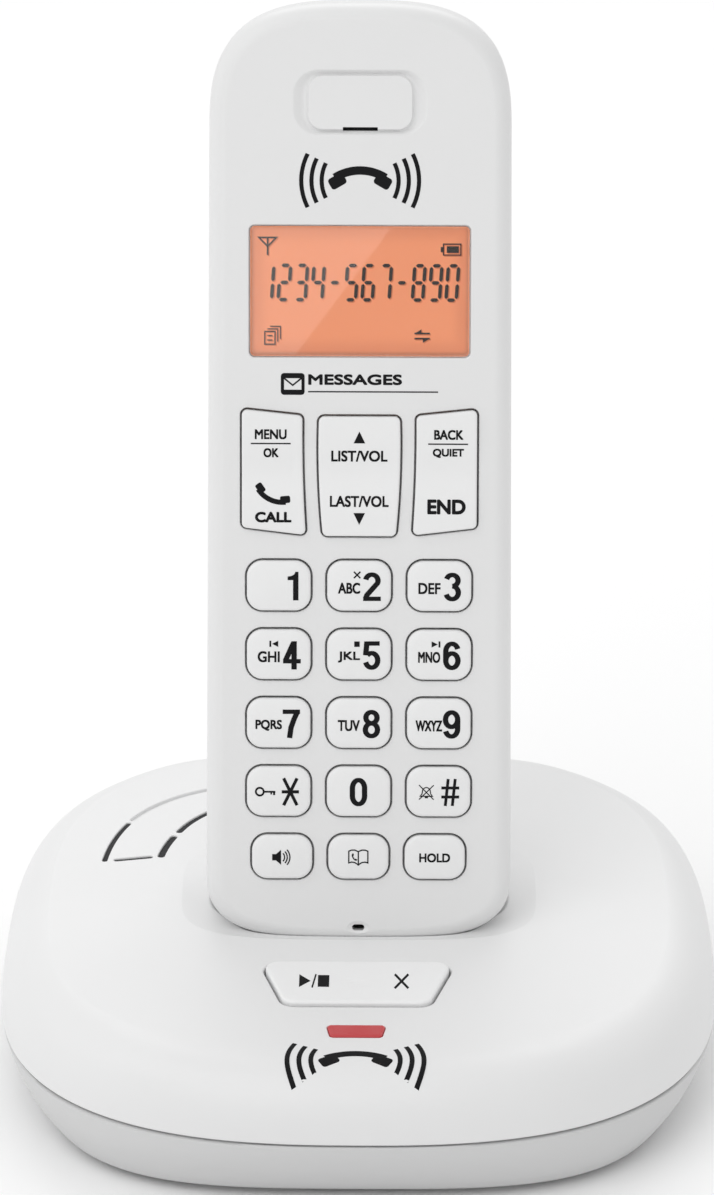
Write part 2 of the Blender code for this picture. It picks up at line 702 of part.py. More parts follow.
def make_base_bottom(mat):
    top_z = SEAM_Z - SEAM_GAP / 2
    rings = []
    edge_z = UNDERSIDE_Z + UNDERSIDE_EDGE
    rings.append([(x, y, UNDERSIDE_Z) for x, y in lower_outline(UNDERSIDE_Z, -UNDERSIDE_EDGE)])
    for level in LOWER_LEVELS:
        z = edge_z + (top_z - edge_z) * level
        rings.append([(x, y, z) for x, y in lower_outline(z, 0.0)])
    shell = object_from_rings("base_bottom_shell", rings)
    floor_z = UNDERSIDE_Z + BASE_WALL
    inner = []
    for level in LOWER_LEVELS:
        z = floor_z + (top_z - floor_z) * level
        inner.append([(x, y, z) for x, y in lower_outline(z, -BASE_WALL)])
    inner.append([(x, y, top_z + 2) for x, y, _ in inner[-1]])
    hollow = object_from_rings("hollow", inner)
    for x, y in SCREW_PLACES:
        cut(hollow, lathe("post", ((BASE_POST, 0), (BASE_POST, BASE_POST_TOP)), "z", (x, y, 0)))
    cut(shell, hollow)
    for x, y in SCREW_PLACES:
        bore = ((BASE_BORE, 0.0), (BASE_BORE, BASE_BORE_TOP), (BASE_PILOT, BASE_BORE_TOP),
                (BASE_PILOT, 12.0))
        cut(shell, lathe("bore", bore, "z", (x, y, 0)))
    for x, y in FOOT_PLACES:
        cut(shell, lathe("foot_seat", ((FOOT_SEAT, 0.0), (FOOT_SEAT, FOOT_SEAT_TOP)), "z", (x, y, 0)))
    cut_jack_windows(shell)
    return finish(shell, mat)


def lower_outline(z, grow):
    """Outline of the tapered, slightly bowed lower shell at height z, moved out by grow."""
    share = (z - UNDERSIDE_Z) / (SEAM_Z - UNDERSIDE_Z)
    bow = 1 + LOWER_BOW * 4 * share * (1 - share)
    foot = superellipse(FOOT_HALF_WIDTH + grow, FOOT_HALF_DEPTH + grow, FOOT_POWER, FOOT_POWER)
    seam = upper_outline(-grow)
    return [((a[0] + (b[0] - a[0]) * share) * bow, (a[1] + (b[1] - a[1]) * share) * bow)
            for a, b in zip(foot, seam)]


def make_base_fittings(mats):
    for index, (x, y) in enumerate(FOOT_PLACES):
        profile = ((FOOT_RADIUS - 0.4, 0.0), (FOOT_RADIUS, 0.4), (FOOT_RADIUS, FOOT_SEAT_TOP - 0.3))
        foot = lathe("rubber_foot_%d" % (index + 1), profile, "z", (x, y, 0))
        finish(foot, mats["rubber"])
    for index, (x, y) in enumerate(SCREW_PLACES):
        screw = lathe("base_screw_%d" % (index + 1),
                      ((2.0, 3.6), (2.7, 4.2), (2.7, 5.7), (1.3, 5.7), (1.3, 15.5)), "z",
                      (x, y, 0), count=16)
        finish(screw, mats["steel"])
    finish(box("base_circuit_board", *BASE_BOARD), mats["board"])


def make_jacks(mat):
    place = (LINE_JACK_X, JACK_BACK_Y, 0)
    line = box("line_jack", (-LINE_JACK_HALF, -LINE_JACK_LENGTH, JACK_FLOOR_Z),
               (LINE_JACK_HALF, 0.0, LINE_JACK_TOP), place)
    for half, (low, high) in ((PLUG_HALF, PLUG_Z), (LATCH_HALF, LATCH_Z)):
        cut(line, box("socket", (-half, -PLUG_DEPTH, low), (half, 2.0, high), place))
    finish(line, mat)
    middle_z = (JACK_FLOOR_Z + POWER_JACK_TOP) / 2
    half_z = (POWER_JACK_TOP - JACK_FLOOR_Z) / 2
    place = (POWER_JACK_X, JACK_BACK_Y, middle_z)
    power = box("power_jack", (-POWER_JACK_HALF, -POWER_JACK_LENGTH, -half_z),
                (POWER_JACK_HALF, 0.0, half_z), place)
    barrel = lathe("barrel", ((POWER_BARREL, 2.0), (POWER_BARREL, -9.0)), "y", place)
    cut(barrel, lathe("pin", ((POWER_PIN, -12.0), (POWER_PIN, -1.0)), "y", place, count=12))
    cut(power, barrel)
    finish(power, mat)


def make_slope_pieces(slope, mats):
    pivot = BASE_ROCKER_PIVOT
    profile = ((KEY_FLANGE, -3.9), (KEY_FLANGE, -3.0), (0.0, -3.0), (0.0, BASE_ROCKER_PROUD - 0.5),
               (-0.3, BASE_ROCKER_PROUD - 0.15), (-1.2, BASE_ROCKER_PROUD))
    rings = []
    for grow, z in profile:
        points = rounded_polygon(BASE_ROCKER, BASE_ROCKER_CORNER, 4, grow)
        rings.append([(x - pivot[0], y - pivot[1], z - pivot[2]) for x, y in points])
    finish(object_from_rings("base_rocker_key", rings, pivot, slope), mats["key"])
    finish(prism("in_use_lamp_lens", LAMP, LAMP_CORNER, -2.4, 0.25, "xy", slope), mats["lamp"])
    led = lathe("in_use_led", ((1.6, -5.5), (1.6, -3.6), (0.8, -2.8)), "z", (0, LAMP_Y, 0), slope,
                count=16)
    finish(led, mats["lamp"])
    finish(box("button_board", *BUTTON_BOARD, parent=slope), mats["board"])
    x, y = SPEAKER_CENTRE
    profile = ((SPEAKER_RADIUS - 0.6, -2.5), (SPEAKER_RADIUS, -3.0), (SPEAKER_RADIUS, -4.2),
               (6.0, -6.4), (6.0, -9.6))
    speaker = lathe("base_speaker", profile, "z", (x, y, 0), slope)
    finish(speaker, mats["steel"])


def make_charge_pins(handset, mat):
    profile = ((1.9, -5.6), (1.9, -4.4), (1.15, -4.4), (1.15, -0.6), (0.6, -0.2))
    for side, word in ((-1, "left"), (1, "right")):
        pin = lathe("base_charge_pin_" + word, profile, "z", (side * CHARGE_X, CHARGE_Y, 0),
                    handset, count=16)
        finish(pin, mat)


# ---------------------------------------------------------------- assembly

def make_materials():
    return {
        "handset": material("handset_plastic", (0.74, 0.75, 0.78), 0.42),
        "base": material("base_plastic", (0.80, 0.81, 0.83), 0.42),
        "key": material("key_plastic", (0.72, 0.73, 0.77), 0.40),
        "window": material("window_plastic", (0.80, 0.42, 0.20), 0.08),
        "lcd": material("lcd_glass", (0.84, 0.36, 0.14), 0.30),
        "light": material("backlight_plastic", (0.90, 0.55, 0.30), 0.40),
        "lamp": material("lamp_plastic", (0.55, 0.08, 0.08), 0.25),
        "rubber": material("grey_rubber", (0.18, 0.18, 0.19), 0.85),
        "board": material("circuit_board", (0.06, 0.25, 0.12), 0.50),
        "steel": material("steel", (0.55, 0.56, 0.58), 0.30, 1.0),
        "contact": material("contact_metal", (0.80, 0.72, 0.50), 0.25, 1.0),
        "cell": material("cell_wrap", (0.10, 0.30, 0.16), 0.40),
        "jack": material("jack_plastic", (0.06, 0.06, 0.065), 0.45),
    }


def build():
    clear_scene()
    mats = make_materials()
    handset = frame_empty("handset_frame", HANDSET_FOOT, -HANDSET_LEAN)
    slope = frame_empty("slope_frame", (0.0, 0.0, FACE_MID_Z), FACE_SLOPE)
    bpy.context.view_layer.update()
    make_front_shell(handset, mats["handset"])
    make_rear_shell(handset, mats["handset"])
    make_battery_cover(handset, mats["handset"])
    make_keys(handset, mats["key"])
    make_rockers(handset, mats["key"])
    make_display(handset, mats["window"], mats["lcd"], mats["light"])
    make_handset_electronics(handset, mats["board"], mats["rubber"], mats["steel"])
    make_battery(handset, mats["cell"], mats["contact"])
    make_handset_fastenings(handset, mats["steel"], mats["contact"])
    make_base_top(handset, slope, mats["base"])
    make_base_bottom(mats["base"])
    make_base_fittings(mats)
    make_jacks(mats["jack"])
    make_slope_pieces(slope, mats)
    make_charge_pins(handset, mats["contact"])


build()
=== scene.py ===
"""Looks of the cordless phone: fine casings, keys, legends and materials round the frame.

Lengths are millimetres in three frames that follow the design: the base (table frame), the
slope of its top (x, y along the slope, z out of it) and the handset (x across, y from the
face into the body, z from foot to head).  Meshes are turned into the row frame in metres.
"""
import math

import bmesh
import bpy
import numpy as np
from mathutils import Matrix, Vector
from mathutils.geometry import delaunay_2d_cdt, tessellate_polygon


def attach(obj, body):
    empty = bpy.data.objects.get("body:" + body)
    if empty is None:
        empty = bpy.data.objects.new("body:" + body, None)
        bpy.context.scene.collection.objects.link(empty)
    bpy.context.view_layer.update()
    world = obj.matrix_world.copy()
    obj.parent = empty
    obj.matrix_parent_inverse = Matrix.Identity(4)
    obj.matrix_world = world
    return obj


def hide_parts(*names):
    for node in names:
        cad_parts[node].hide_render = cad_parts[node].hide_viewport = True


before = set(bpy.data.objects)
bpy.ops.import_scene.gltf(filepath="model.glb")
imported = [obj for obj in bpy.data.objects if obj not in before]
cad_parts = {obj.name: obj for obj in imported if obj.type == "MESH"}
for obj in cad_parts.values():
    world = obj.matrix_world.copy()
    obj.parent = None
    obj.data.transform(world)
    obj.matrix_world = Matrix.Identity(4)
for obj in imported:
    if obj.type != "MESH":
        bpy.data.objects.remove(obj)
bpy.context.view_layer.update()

MM = 0.001
SIDES = ((-1, "left"), (1, "right"))
UPRIGHT = (0, 0, 1)

# ------------------------------------------------------------------ driving sizes

# Base: superellipse outlines, a rounded edge over the seam and a slope that rises to the back.
BASE_HALF_WIDTH = 56.8
BASE_HALF_DEPTH = 57.4
FRONT_POWER = 2.6
BACK_POWER = 3.0
SEAM_Z = 10.6
SEAM_GAP = 0.3
SEAM_EDGE = 0.25
FACE_FRONT_Z = 21.6
FACE_BACK_Z = 27.6
# How far in the rounded edge reaches and its superellipse power, with what the front adds.
EDGE_REACH = 7.3
EDGE_POWER = 2.35
FRONT_EXTRA_REACH = 1.9
FRONT_EXTRA_POWER = 0.45
SIDE_CREASE = math.radians(11.0)
ROOF_ROUND = 4.5
# Lower casing, which narrows in a slight bow towards its underside.
FOOT_HALF_WIDTH = 48.9
FOOT_HALF_DEPTH = 53.2
FOOT_POWER = 3.5
LOWER_BOW = 0.024
UNDERSIDE_Z = 1.0
UNDERSIDE_EDGE = 0.8
BASE_WALL = 2.0
RING_POINTS = 240
HALVINGS = 30
FACE_MID_Z = (FACE_FRONT_Z + FACE_BACK_Z) / 2
FACE_SLOPE = math.atan2(FACE_BACK_Z - FACE_FRONT_Z, 2 * BASE_HALF_DEPTH)

# Handset: face at depth 0, a parting line at a third of its depth and a rounder back.
HANDSET_LEAN = math.radians(14.0)
HANDSET_FOOT = Vector((0.0, -11.4, 22.2))
HANDSET_LENGTH = 148.0
HANDSET_HALF_WIDTH = 24.05
HANDSET_TAPER = 0.7
HANDSET_THICK = 26.0
HANDSET_WALL = 1.8
TOP_END = 20.0
LEAST_TOP_END = 5.0
FOOT_END = 11.5
LEAST_FOOT_END = 3.0
END_POWER = 2.95
FRONT_ROUND = 2.65
FRONT_ROUND_DEPTH = 3.2
PARTING = 10.0
PARTING_GAP = 0.15
PARTING_EDGE = 0.25
BACK_ROUND_SIDE = 7.2
BACK_ROUND_TOP = 12.0
BACK_RISE_FOOT = 27.0
END_POINTS = 60

# Frames of the handset, of the slope and of the table.
HANDSET = Matrix.Translation(HANDSET_FOOT) @ Matrix.Rotation(-HANDSET_LEAN, 4, "X")
SLOPE = Matrix.Translation((0, 0, FACE_MID_Z)) @ Matrix.Rotation(FACE_SLOPE, 4, "X")
TABLE = Matrix.Identity(4)

# The well: a shallow dish round the handset, a rounded mouth and walls close to the handset.
WELL_GAP = 0.1
WELL_SIDE_GAP = 1.5
WELL_BACK_ROUND = 2.5
MOUTH_ROUND = 0.15
DISH_DEPTH = 0.6
DISH_HALF_WIDTH = 28.2
DISH_HALF_DEPTH = 16.8
DISH_CENTRE_Y = 3.8
DISH_POWER = 4.0

# Push keys: four rows of three and a lower row, each with a flange behind the face.
KEY_PITCH_X = 12.55
KEY_PITCH_Z = 10.88
KEY_ROW_Z = 57.3
KEY_SIZE = (9.95, 7.85)
KEY_CORNER = 2.45
LOW_ROW_Z = 14.2
LOW_PITCH_X = 12.0
LOW_KEY_SIZE = (9.45, 6.95)
KEY_PROUD = 0.75
KEY_CROWN = 0.16
KEY_EDGE = 0.42
KEY_GAP = 0.31
HOLE_EDGE = 0.16
FLANGE = 0.7
FLANGE_Y = (2.2, 3.1)
ROCKER_FLANGE_Y = (2.6, 3.4)

# Rocker keys, by the corners of the right and the middle one.
SIDE_ROCKER = ((8.85, 84.0), (18.3, 85.0), (18.3, 66.5), (8.35, 65.3))
MIDDLE_ROCKER = ((-6.25, 83.9), (6.25, 83.9), (5.7, 65.15), (-5.7, 65.15))
ROCKER_CORNER = 0.8
ROCKER_EDGE = 0.32
ROCKER_MID_Z = 75.0
ROCKER_HALF_LENGTH = 9.6
ROCKER_BOW = 0.34
ROCKER_VALLEY = 0.3
ROCKER_VALLEY_WIDTH = 3.2

# Display: a window pane in a seat, over the panel that shows through it.
DISPLAY_CENTRE_Z = 103.4
DISPLAY_SIZE = (34.4, 20.6)
DISPLAY_CORNER = 0.9
LCD_VIEW = (34.0, 20.2)
LCD_PANEL_HALF = (17.4, 10.6)
LCD_Y = 2.2
LCD_BACK_Y = 4.0
WINDOW_SEAT_Y = 1.3
WINDOW_ROUND = 0.25
PANE_GAP = 0.18

# Earpiece: a flush island in a soft moat.
EARPIECE_Z = 132.7
MOAT_SIZE = (21.0, 10.2)
MOAT_CORNER = 4.0
ISLAND_SIZE = (15.9, 8.2)
ISLAND_CORNER = 2.2
MIC_Z = 2.75

# Battery cover and the bay behind it.
COVER_HALF_WIDTH = 16.5
COVER_Z = (22.5, 76.0)
COVER_INNER_Y = 24.3
COVER_CLEAR = 0.3
COVER_EDGE = 1.1
BAY_HALF_WIDTH = 11.4
BAY_Z = (24.8, 71.7)
BAY_Y = 13.2
BAY_WALL = 1.6
HANDSET_SCREW = (15.0, 6.6)

# Charge pins in the floor of the well, each in a hole with a recess for the handset's contact.
CHARGE_X = 9.0
CHARGE_Y = 6.6
PIN_RADIUS = 1.15
PIN_HOLE = 1.5
CONTACT_RECESS = 3.9
CONTACT_RECESS_DEPTH = 0.6

# Rocker key and lamp of the base, by their corners on the slope.
BASE_ROCKER = ((-15.0, -21.0), (15.0, -21.0), (11.2, -34.0), (-11.2, -34.0))
BASE_ROCKER_CORNER = 2.2
BASE_ROCKER_MID_Y = -27.5
BASE_ROCKER_EDGE = 0.5
LAMP = ((-4.5, -40.3), (4.5, -40.3), (3.9, -43.8), (-3.9, -43.8))
LAMP_CORNER = 0.6

# Feet, screws and the cross recess in the screws' heads.
FOOT_PLACES = ((-40, -27), (40, -27), (-40, 27), (40, 27))
SCREW_PLACES = ((-36, -38), (36, -38), (-32, 42), (32, 42))
RECESS_ARM = (1.15, 0.28)
RECESS_DEPTH = 0.8

# Sockets: place across, half width and top; they stand on the casing's floor.
LINE_JACK = (-14.0, 6.0, 14.0)
POWER_JACK = (14.0, 5.0, 13.5)
JACK_FLOOR_Z = 3.0
JACK_BACK_Y = 52.9
JACK_WINDOW_Y = 44.0
JACK_WINDOW_GAP = 0.3

# Slots of the sound outlet.
SLOT_DEEP = 5.0
SLOT_GROOVE = 0.55
SLOT_EDGE = 0.2

# The rounded mouth of a cutter ends this far past the face, so that no two faces coincide.
MOUTH_LIFT = 0.003
GRAIN_HEIGHT = 0.00003
ROCKER_SIDE_POINTS = 10

# Prints: half thickness of the ink, bold numerals and the digits of the display.
INK = 0.03
DIGIT_SIZE = (2.75, 4.5)
DIGIT_STEM = 0.84
DIGIT_BAR = 0.68
PRINT_STEP = 0.8
LEGEND_STRETCH = 2.1
SEGMENT_PITCH = 2.61
SEGMENT_ROW_Z = 104.6

# Studio, in metres: lights, the softbox that the window mirrors, and the camera.
WORLD_LIGHT = 0.78
KEY_LIGHT = 2.7
BACK_LIGHT = 2.4
SIDE_LIGHT = 0.5
GLOSS_LIGHT = 0.5
GLOSS_TILT = 53.0
GLOSS_SHIFT = 0.0034
GLOSS_SIZE = 0.36
GLOSS_DISTANCE = 0.6

CAMERA_ELEVATION = math.radians(22.5)
CAMERA_AZIMUTH = math.radians(0.6)
CAMERA_DISTANCE = 0.9
CAMERA_AIM = (-0.0003, 0, 0.0768)
CAMERA_LENS = 173.85


# ------------------------------------------------------------------ mesh helpers

def object_from_bmesh(name, bm, matrix):
    """Object of a mesh in millimetres, turned from its own frame into the row frame."""
    mesh = bpy.data.meshes.new(name)
    bm.to_mesh(mesh)
    bm.free()
    mesh.transform(Matrix.Scale(MM, 4) @ matrix)
    obj = bpy.data.objects.new(name, mesh)
    bpy.context.scene.collection.objects.link(obj)
    return obj


def skin(name, rings, matrix, hub_low=None, hub_high=None, endless=False):
    """Closed body over equal rings; each end is a flat cap or a fan to its hub point.

    An endless body has no ends: its last ring joins the first.
    """
    bm = bmesh.new()
    loops = [[bm.verts.new(p) for p in ring] for ring in rings]
    count = len(rings[0])
    following = loops[1:] + loops[:1] if endless else loops[1:]
    ends = () if endless else ((loops[0], hub_low), (loops[-1], hub_high))
    for low, high in zip(loops, following):
        for i in range(count):
            j = (i + 1) % count
            bm.faces.new((low[i], low[j], high[j], high[i]))
    for loop, hub in ends:
        if hub is None:
            bm.faces.new(loop)
            continue
        centre = bm.verts.new(hub)
        for i in range(count):
            bm.faces.new((loop[i], loop[(i + 1) % count], centre))
    bmesh.ops.recalc_face_normals(bm, faces=bm.faces)
    return object_from_bmesh(name, bm, matrix)


def lathe(name, profile, axis, place, matrix, count=48):
    """Round closed body about an axis through a place, from (radius, level) pairs."""
    rings = []
    for radius, along in profile:
        ring = []
        for i in range(count):
            turn = 2 * math.pi * i / count
            u = radius * math.cos(turn)
            v = radius * math.sin(turn)
            spot = (u, along, v) if axis == "y" else (u, v, along)
            ring.append(Vector(place) + Vector(spot))
        rings.append(ring)
    return skin(name, rings, matrix)


def box(name, low, high, matrix):
    corners = ((low[0], low[1]), (high[0], low[1]), (high[0], high[1]), (low[0], high[1]))
    return skin(name, [[(x, y, z) for x, y in corners] for z in (low[2], high[2])], matrix)


def join(objects, name):
    bm = bmesh.new()
    for obj in objects:
        bm.from_mesh(obj.data)
        bpy.data.objects.remove(obj, do_unlink=True)
    mesh = bpy.data.meshes.new(name)
    bm.to_mesh(mesh)
    bm.free()
    joined = bpy.data.objects.new(name, mesh)
    bpy.context.scene.collection.objects.link(joined)
    return joined


def boolean(target, tool, operation="DIFFERENCE"):
    """Cut the tool from the target, or unite them, and delete the tool."""
    change = target.modifiers.new("boolean", "BOOLEAN")
    change.operation = operation
    change.solver = "EXACT"
    change.object = tool
    graph = bpy.context.evaluated_depsgraph_get()
    mesh = bpy.data.meshes.new_from_object(target.evaluated_get(graph))
    target.modifiers.clear()
    target.data = mesh
    bpy.data.objects.remove(tool, do_unlink=True)
    return target


def finish_piece(obj, body, mat, replaces=(), smooth=40.0, weighted=True):
    """Shade, colour and attach a piece."""
    mesh = obj.data
    for polygon in mesh.polygons:
        polygon.use_smooth = True
        polygon.material_index = 0
    mesh.set_sharp_from_angle(angle=math.radians(smooth))
    mesh.materials.clear()
    mesh.materials.append(mat)
    if weighted:
        normals = obj.modifiers.new("normals", "WEIGHTED_NORMAL")
        normals.mode = "FACE_AREA_WITH_ANGLE"
        normals.weight = 100
        normals.keep_sharp = True
    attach(obj, body)
    for node in replaces:
        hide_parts(node)
    return obj


def heading(path, i, closed=False):
    """Direction of a path at its point i, from the point before to the point after."""
    last = len(path) - 1
    if closed:
        return (path[(i + 1) % (last + 1)] - path[i - 1]).normalized()
    return (path[min(i + 1, last)] - path[max(i - 1, 0)]).normalized()


def smooth_step(t):
    t = max(0.0, min(1.0, t))
    return t * t * (3 - 2 * t)


# ------------------------------------------------------------------ outlines

def quarter(steps, first=0):
    """Quarter circle in equal steps, as pairs that run from (0, 1) to (1, 0).

    They are 1 - cos and 1 - sin of the turn, the gaps between the arc and its two tangents.
    """
    turns = [math.pi / 2 * k / steps for k in range(first, steps + 1)]
    return [(1 - math.cos(turn), 1 - math.sin(turn)) for turn in turns]


def face_ring(points, y):
    """Ring at depth y in the handset's frame, from points across and along its face."""
    return [(p.x, y, p.y) for p in points]


def flat_ring(points, z):
    """Ring at height z in the slope's frame."""
    return [(p.x, p.y, z) for p in points]


def rounded_polygon(corners, radius, steps, grow=0.0, side_points=0):
    """Convex polygon with rounded corners, moved out by grow, and points along its sides."""
    count = len(corners)
    arcs = []
    for i in range(count):
        here = Vector(corners[i])
        back = (Vector(corners[i - 1]) - here).normalized()
        ahead = (Vector(corners[(i + 1) % count]) - here).normalized()
        middle = (back + ahead).normalized()
        half = math.acos(max(-1.0, min(1.0, back.dot(ahead)))) / 2
        hub = here + middle * (radius / math.sin(half))
        first = hub - here - back * (hub - here).dot(back)
        second = hub - here - ahead * (hub - here).dot(ahead)
        start = math.atan2(-first.y, -first.x)
        end = math.atan2(-second.y, -second.x)
        sweep = (end - start + math.pi) % (2 * math.pi) - math.pi
        reach_out = max(radius + grow, 0.02)
        arcs.append([])
        for k in range(steps + 1):
            turn = start + sweep * k / steps
            arcs[-1].append(hub + Vector((math.cos(turn), math.sin(turn))) * reach_out)
    points = []
    for here, following in zip(arcs, arcs[1:] + arcs[:1]):
        points.extend(here)
        for k in range(side_points):
            points.append(here[-1].lerp(following[0], (k + 1) / (side_points + 1)))
    turned = sum(a.x * b.y - a.y * b.x for a, b in zip(points, points[1:] + points[:1]))
    if turned < 0:
        points.reverse()
    return points


def rounded(corners, radius, steps):
    """Rounded polygon as a function of how far it is moved out."""
    return lambda grow=0.0: rounded_polygon(corners, radius, steps, grow)


def rectangle(size, centre=(0.0, 0.0)):
    w = size[0] / 2
    h = size[1] / 2
    cx, cz = centre
    return ((cx - w, cz - h), (cx + w, cz - h), (cx + w, cz + h), (cx - w, cz + h))


def upright_rectangle(half_width, low, high):
    return ((-half_width, low), (half_width, low), (half_width, high), (-half_width, high))


def face_z(y):
    return FACE_MID_Z + math.tan(FACE_SLOPE) * y


def handset_outline(y, side, foot=None, top=None):
    """Closed outline of the handset at depth y, inset by side or by three amounts."""
    foot = side if foot is None else foot
    top = side if top is None else top
    points = []
    high = HANDSET_LENGTH - top
    low_end = max(FOOT_END - max(side, 0.0), LEAST_FOOT_END)
    high_end = max(TOP_END - max(side, 0.0), LEAST_TOP_END)

    def half_width(z):
        return HANDSET_HALF_WIDTH - side - HANDSET_TAPER * max(z, 0.0) / HANDSET_LENGTH

    for sign, hub, reach in ((1, high - high_end, high_end), (-1, foot + low_end, -low_end)):
        for i in range(END_POINTS + 1):
            turn = math.pi * i / END_POINTS
            c = sign * math.cos(turn)
            s = math.sin(turn)
            # Equal polar steps keep the points evenly spread round the end.
            scale = (abs(c) ** END_POWER + abs(s) ** END_POWER) ** (-1 / END_POWER)
            z = hub + reach * s * scale
            points.append((half_width(z) * c * scale, y, z))
    return points


def handset_rings(outset, front=0.0, back=HANDSET_THICK, steps=12, back_steps=18):
    """Rings of the handset's form grown by outset, between the depths front and back."""
    rings = []
    if front <= 0.0:
        for fall, left in quarter(steps):
            y = FRONT_ROUND_DEPTH * fall - outset * (1 - fall)
            rings.append(handset_outline(y, FRONT_ROUND * left - outset))
    else:
        rings.append(handset_outline(front, -outset))
    if back <= PARTING:
        rings.append(handset_outline(back, -outset))
        return rings
    depth = back + outset - PARTING
    for fall, left in quarter(back_steps, 0 if front <= 0.0 else 1):
        rings.append(handset_outline(PARTING + depth * (1 - left),
                                     BACK_ROUND_SIDE * fall - outset,
                                     BACK_RISE_FOOT * fall - outset,
                                     BACK_ROUND_TOP * fall - outset))
    return rings


# ------------------------------------------------------------------ hole cutters

def flared_cutter(name, outline, gap, edge, deep, matrix):
    """Straight hole with a softly rounded mouth, in the handset's face or in the slope."""
    profile = [(gap, -deep)]
    profile += [(gap + edge * fall, MOUTH_LIFT - edge * left) for fall, left in quarter(5)]
    profile.append((gap + edge, 2.0))
    if matrix is HANDSET:
        rings = [face_ring(outline(grow), -level) for grow, level in profile]
    else:
        rings = [flat_ring(outline(grow), level) for grow, level in profile]
    return skin(name, rings, matrix)


# ------------------------------------------------------------------ materials


def plain_material(name):
    mat = bpy.data.materials.new(name)
    mat.use_nodes = True
    return mat, mat.node_tree.nodes["Principled BSDF"]


def noise(mat, scale, detail):
    """Value of a cloudy texture that is fixed to the object."""
    nodes = mat.node_tree.nodes
    cloud = nodes.new("ShaderNodeTexNoise")
    cloud.inputs["Scale"].default_value = scale
    cloud.inputs["Detail"].default_value = detail
    place = nodes.new("ShaderNodeTexCoord").outputs["Object"]
    mat.node_tree.links.new(place, cloud.inputs["Vector"])
    return cloud.outputs["Fac"]


def mottled(mat, shader, cloud, low, high):
    """Let the base colour wander between two colours."""
    tint = mat.node_tree.nodes.new("ShaderNodeMix")
    tint.data_type = "RGBA"
    tint.inputs["A"].default_value = (*low, 1)
    tint.inputs["B"].default_value = (*high, 1)
    mat.node_tree.links.new(cloud, tint.inputs["Factor"])
    mat.node_tree.links.new(tint.outputs["Result"], shader.inputs["Base Color"])


def material(name, colour, roughness, metallic=0.0, grain=0.0, mottle=0.012, spread=0.06,
             shine=0.5):
    """Procedural finish: slow colour mottling, uneven polish and a fine surface grain."""
    mat, shader = plain_material(name)
    link = mat.node_tree.links.new
    shader.inputs["Metallic"].default_value = metallic
    shader.inputs["Specular IOR Level"].default_value = shine
    mottled(mat, shader, noise(mat, 38.0, 3.0), [c * (1 - mottle) for c in colour],
            [min(1.0, c * (1 + mottle)) for c in colour])

    span = mat.node_tree.nodes.new("ShaderNodeMapRange")
    span.inputs["To Min"].default_value = max(0.004, roughness - spread)
    span.inputs["To Max"].default_value = roughness + spread
    link(noise(mat, 210.0, 4.0), span.inputs["Value"])
    link(span.outputs["Result"], shader.inputs["Roughness"])

    if grain:
        bump = mat.node_tree.nodes.new("ShaderNodeBump")
        bump.inputs["Strength"].default_value = grain
        bump.inputs["Distance"].default_value = GRAIN_HEIGHT
        link(noise(mat, 2600.0, 2.0), bump.inputs["Height"])
        link(bump.outputs["Normal"], shader.inputs["Normal"])
    return mat


def clear_plastic(name):
    """Polished clear window, with almost no grain or colour of its own."""
    mat = material(name, (1.0, 0.99, 0.98), 0.012, spread=0.004, mottle=0.0)
    shader = mat.node_tree.nodes["Principled BSDF"]
    shader.inputs["Transmission Weight"].default_value = 1.0
    shader.inputs["IOR"].default_value = 1.46
    return mat


def glowing(name, colour, glow, strength, roughness=0.3, shine=0.5):
    """Finish that also gives off light of the colour glow."""
    mat = material(name, colour, roughness, shine=shine)
    shader = mat.node_tree.nodes["Principled BSDF"]
    shader.inputs["Emission Color"].default_value = (*glow, 1)
    shader.inputs["Emission Strength"].default_value = strength
    return mat


def display_material(name):
    """Amber backlit display that darkens to brown towards its four edges: painted shade of the recess
    round it.
    """
    mat = material(name, (0.30, 0.12, 0.05), 0.35)
    nodes = mat.node_tree.nodes
    link = mat.node_tree.links.new
    shader = nodes["Principled BSDF"]
    place = nodes.new("ShaderNodeTexCoord").outputs["Object"]
    turn = nodes.new("ShaderNodeMapping")
    turn.vector_type = "TEXTURE"
    centre = HANDSET @ Vector((0, LCD_Y, DISPLAY_CENTRE_Z)) * MM
    turn.inputs["Location"].default_value = centre
    turn.inputs["Rotation"].default_value = (-HANDSET_LEAN, 0, 0)
    link(place, turn.inputs["Vector"])
    split = nodes.new("ShaderNodeSeparateXYZ")
    link(turn.outputs["Vector"], split.inputs["Vector"])

    def calculate(operation, *values):
        """Output of a math node fed with numbers and other outputs."""
        node = nodes.new("ShaderNodeMath")
        node.operation = operation
        for socket, value in zip(node.inputs, values):
            if isinstance(value, float):
                socket.default_value = value
            else:
                link(value, socket)
        return node.outputs[0]

    # Distance to the nearest of the four edges, in metres.
    room = [calculate("SUBTRACT", size / 2 * MM, calculate("ABSOLUTE", split.outputs[axis]))
            for axis, size in zip("XZ", LCD_VIEW)]
    nearest = calculate("SMOOTH_MIN", *room, 0.001)
    # Painted shade: the glow goes from amber to brown near the edges, where the recess walls would
    # shade the display.
    shade = nodes.new("ShaderNodeValToRGB")
    ramp = shade.color_ramp
    ramp.interpolation = "EASE"
    ramp.elements[0].color = (0.20, 0.052, 0.021, 1)
    ramp.elements[1].color = (0.62, 0.185, 0.075, 1)
    ramp.elements.new(0.30).color = (0.53, 0.150, 0.060, 1)
    span = nodes.new("ShaderNodeMapRange")
    span.inputs["From Min"].default_value = -0.0002
    span.inputs["From Max"].default_value = 0.0032
    link(nearest, span.inputs["Value"])
    link(span.outputs["Result"], shade.inputs["Fac"])
    link(shade.outputs["Color"], shader.inputs["Emission Color"])
    shader.inputs["Emission Strength"].default_value = 1.0
    return mat


